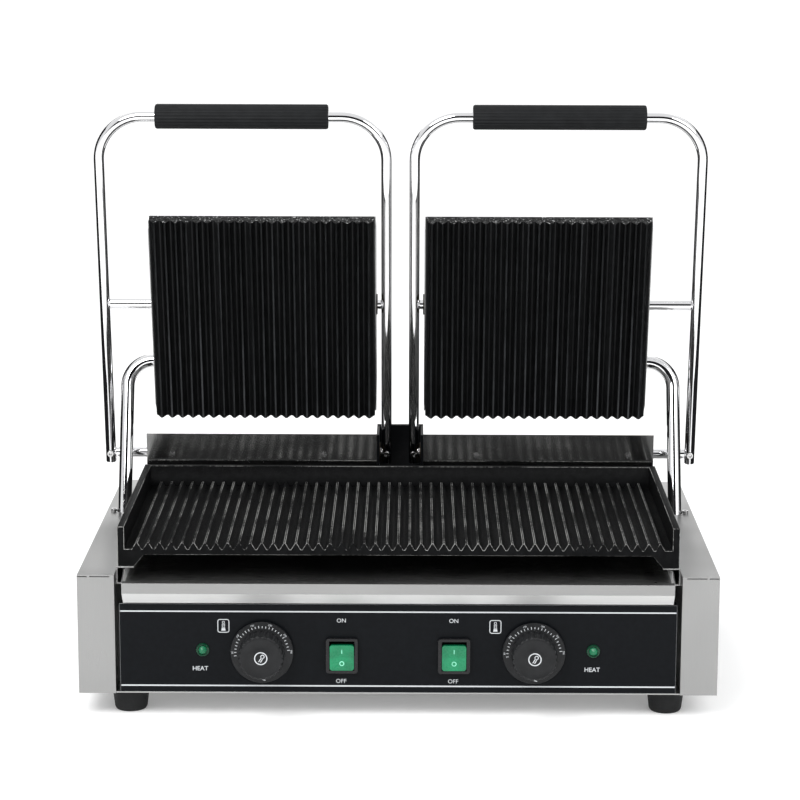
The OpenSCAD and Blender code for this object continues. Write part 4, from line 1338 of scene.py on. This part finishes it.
class GRILL_OT_tray(bpy.types.Operator):
    """Make the grease tray"""

    bl_idname = "grill.tray"
    bl_label = "Grease Tray"
    bl_options = {"REGISTER", "UNDO"}

    def execute(self, context):
        make_tray()
        return {"FINISHED"}


class GRILL_OT_lower_plate(bpy.types.Operator):
    """Make the lower cooking plate"""

    bl_idname = "grill.lower_plate"
    bl_label = "Lower Plate"
    bl_options = {"REGISTER", "UNDO"}

    def execute(self, context):
        make_lower_plate()
        return {"FINISHED"}


class GRILL_OT_rear_housing(bpy.types.Operator):
    """Make the rear cover and the centre bracket"""

    bl_idname = "grill.rear_housing"
    bl_label = "Rear Housing"
    bl_options = {"REGISTER", "UNDO"}

    def execute(self, context):
        make_rear_housing()
        return {"FINISHED"}


class GRILL_OT_feet(bpy.types.Operator):
    """Make the rubber feet"""

    bl_idname = "grill.feet"
    bl_label = "Feet"
    bl_options = {"REGISTER", "UNDO"}

    def execute(self, context):
        make_feet()
        return {"FINISHED"}


class GRILL_OT_handles(bpy.types.Operator):
    """Make the handle rods"""

    bl_idname = "grill.handles"
    bl_label = "Handles"
    bl_options = {"REGISTER", "UNDO"}

    def execute(self, context):
        make_handles()
        return {"FINISHED"}


class GRILL_OT_grips(bpy.types.Operator):
    """Make the fluted grips"""

    bl_idname = "grill.grips"
    bl_label = "Grips"
    bl_options = {"REGISTER", "UNDO"}

    def execute(self, context):
        make_grips()
        return {"FINISHED"}


class GRILL_OT_bars(bpy.types.Operator):
    """Make the crossbars and the pivot shafts"""

    bl_idname = "grill.bars"
    bl_label = "Crossbars and Shafts"
    bl_options = {"REGISTER", "UNDO"}

    def execute(self, context):
        make_bars()
        return {"FINISHED"}


class GRILL_OT_lid_fittings(bpy.types.Operator):
    """Make the collars and the arm screws"""

    bl_idname = "grill.lid_fittings"
    bl_label = "Lid Fittings"
    bl_options = {"REGISTER", "UNDO"}

    def execute(self, context):
        make_lid_fittings()
        return {"FINISHED"}


class GRILL_OT_upper_plates(bpy.types.Operator):
    """Make the upper plates and their covers"""

    bl_idname = "grill.upper_plates"
    bl_label = "Upper Plates"
    bl_options = {"REGISTER", "UNDO"}

    def execute(self, context):
        make_upper_plates()
        return {"FINISHED"}


class GRILL_OT_conduits(bpy.types.Operator):
    """Make the wiring conduits"""

    bl_idname = "grill.conduits"
    bl_label = "Conduits"
    bl_options = {"REGISTER", "UNDO"}

    def execute(self, context):
        make_conduits()
        return {"FINISHED"}


class GRILL_OT_fittings(bpy.types.Operator):
    """Finish the fittings that keep their CAD shape"""

    bl_idname = "grill.fittings"
    bl_label = "Fittings"
    bl_options = {"REGISTER", "UNDO"}

    def execute(self, context):
        finish_fittings()
        return {"FINISHED"}


OPERATORS = (
    GRILL_OT_stage, GRILL_OT_side_panels, GRILL_OT_body_sheets, GRILL_OT_control_panel, GRILL_OT_knobs,
    GRILL_OT_switches, GRILL_OT_lamps, GRILL_OT_tray, GRILL_OT_lower_plate, GRILL_OT_rear_housing,
    GRILL_OT_feet, GRILL_OT_handles, GRILL_OT_grips, GRILL_OT_bars, GRILL_OT_lid_fittings,
    GRILL_OT_upper_plates, GRILL_OT_conduits, GRILL_OT_fittings,
)


class GRILL_PT_pieces(bpy.types.Panel):
    """Lists the grill's pieces, sizes and colours"""

    bl_label, bl_idname = "Double Contact Grill", "GRILL_PT_pieces"
    bl_space_type, bl_region_type, bl_category = "VIEW_3D", "UI", "Grill"

    def draw(self, context):
        column = self.layout.column()
        for operator in OPERATORS:
            column.operator(operator.bl_idname)
        for settings in (context.scene.grill_sizes, context.scene.grill_colours, context.scene.grill_stage):
            box = self.layout.box()
            for name in settings.__annotations__:
                box.prop(settings, name)


CLASSES = (GrillSizes, GrillColours, GrillStage, *OPERATORS, GRILL_PT_pieces)


def register():
    for cls in CLASSES:
        bpy.utils.register_class(cls)
    bpy.types.Scene.grill_sizes = PointerProperty(type=GrillSizes)
    bpy.types.Scene.grill_colours = PointerProperty(type=GrillColours)
    bpy.types.Scene.grill_stage = PointerProperty(type=GrillStage)


def unregister():
    del bpy.types.Scene.grill_stage, bpy.types.Scene.grill_colours, bpy.types.Scene.grill_sizes
    for cls in reversed(CLASSES):
        bpy.utils.unregister_class(cls)


def main():
    register()
    for operator in OPERATORS:
        area, name = operator.bl_idname.split(".")
        getattr(getattr(bpy.ops, area), name)()


if __name__ == "__main__":
    main()
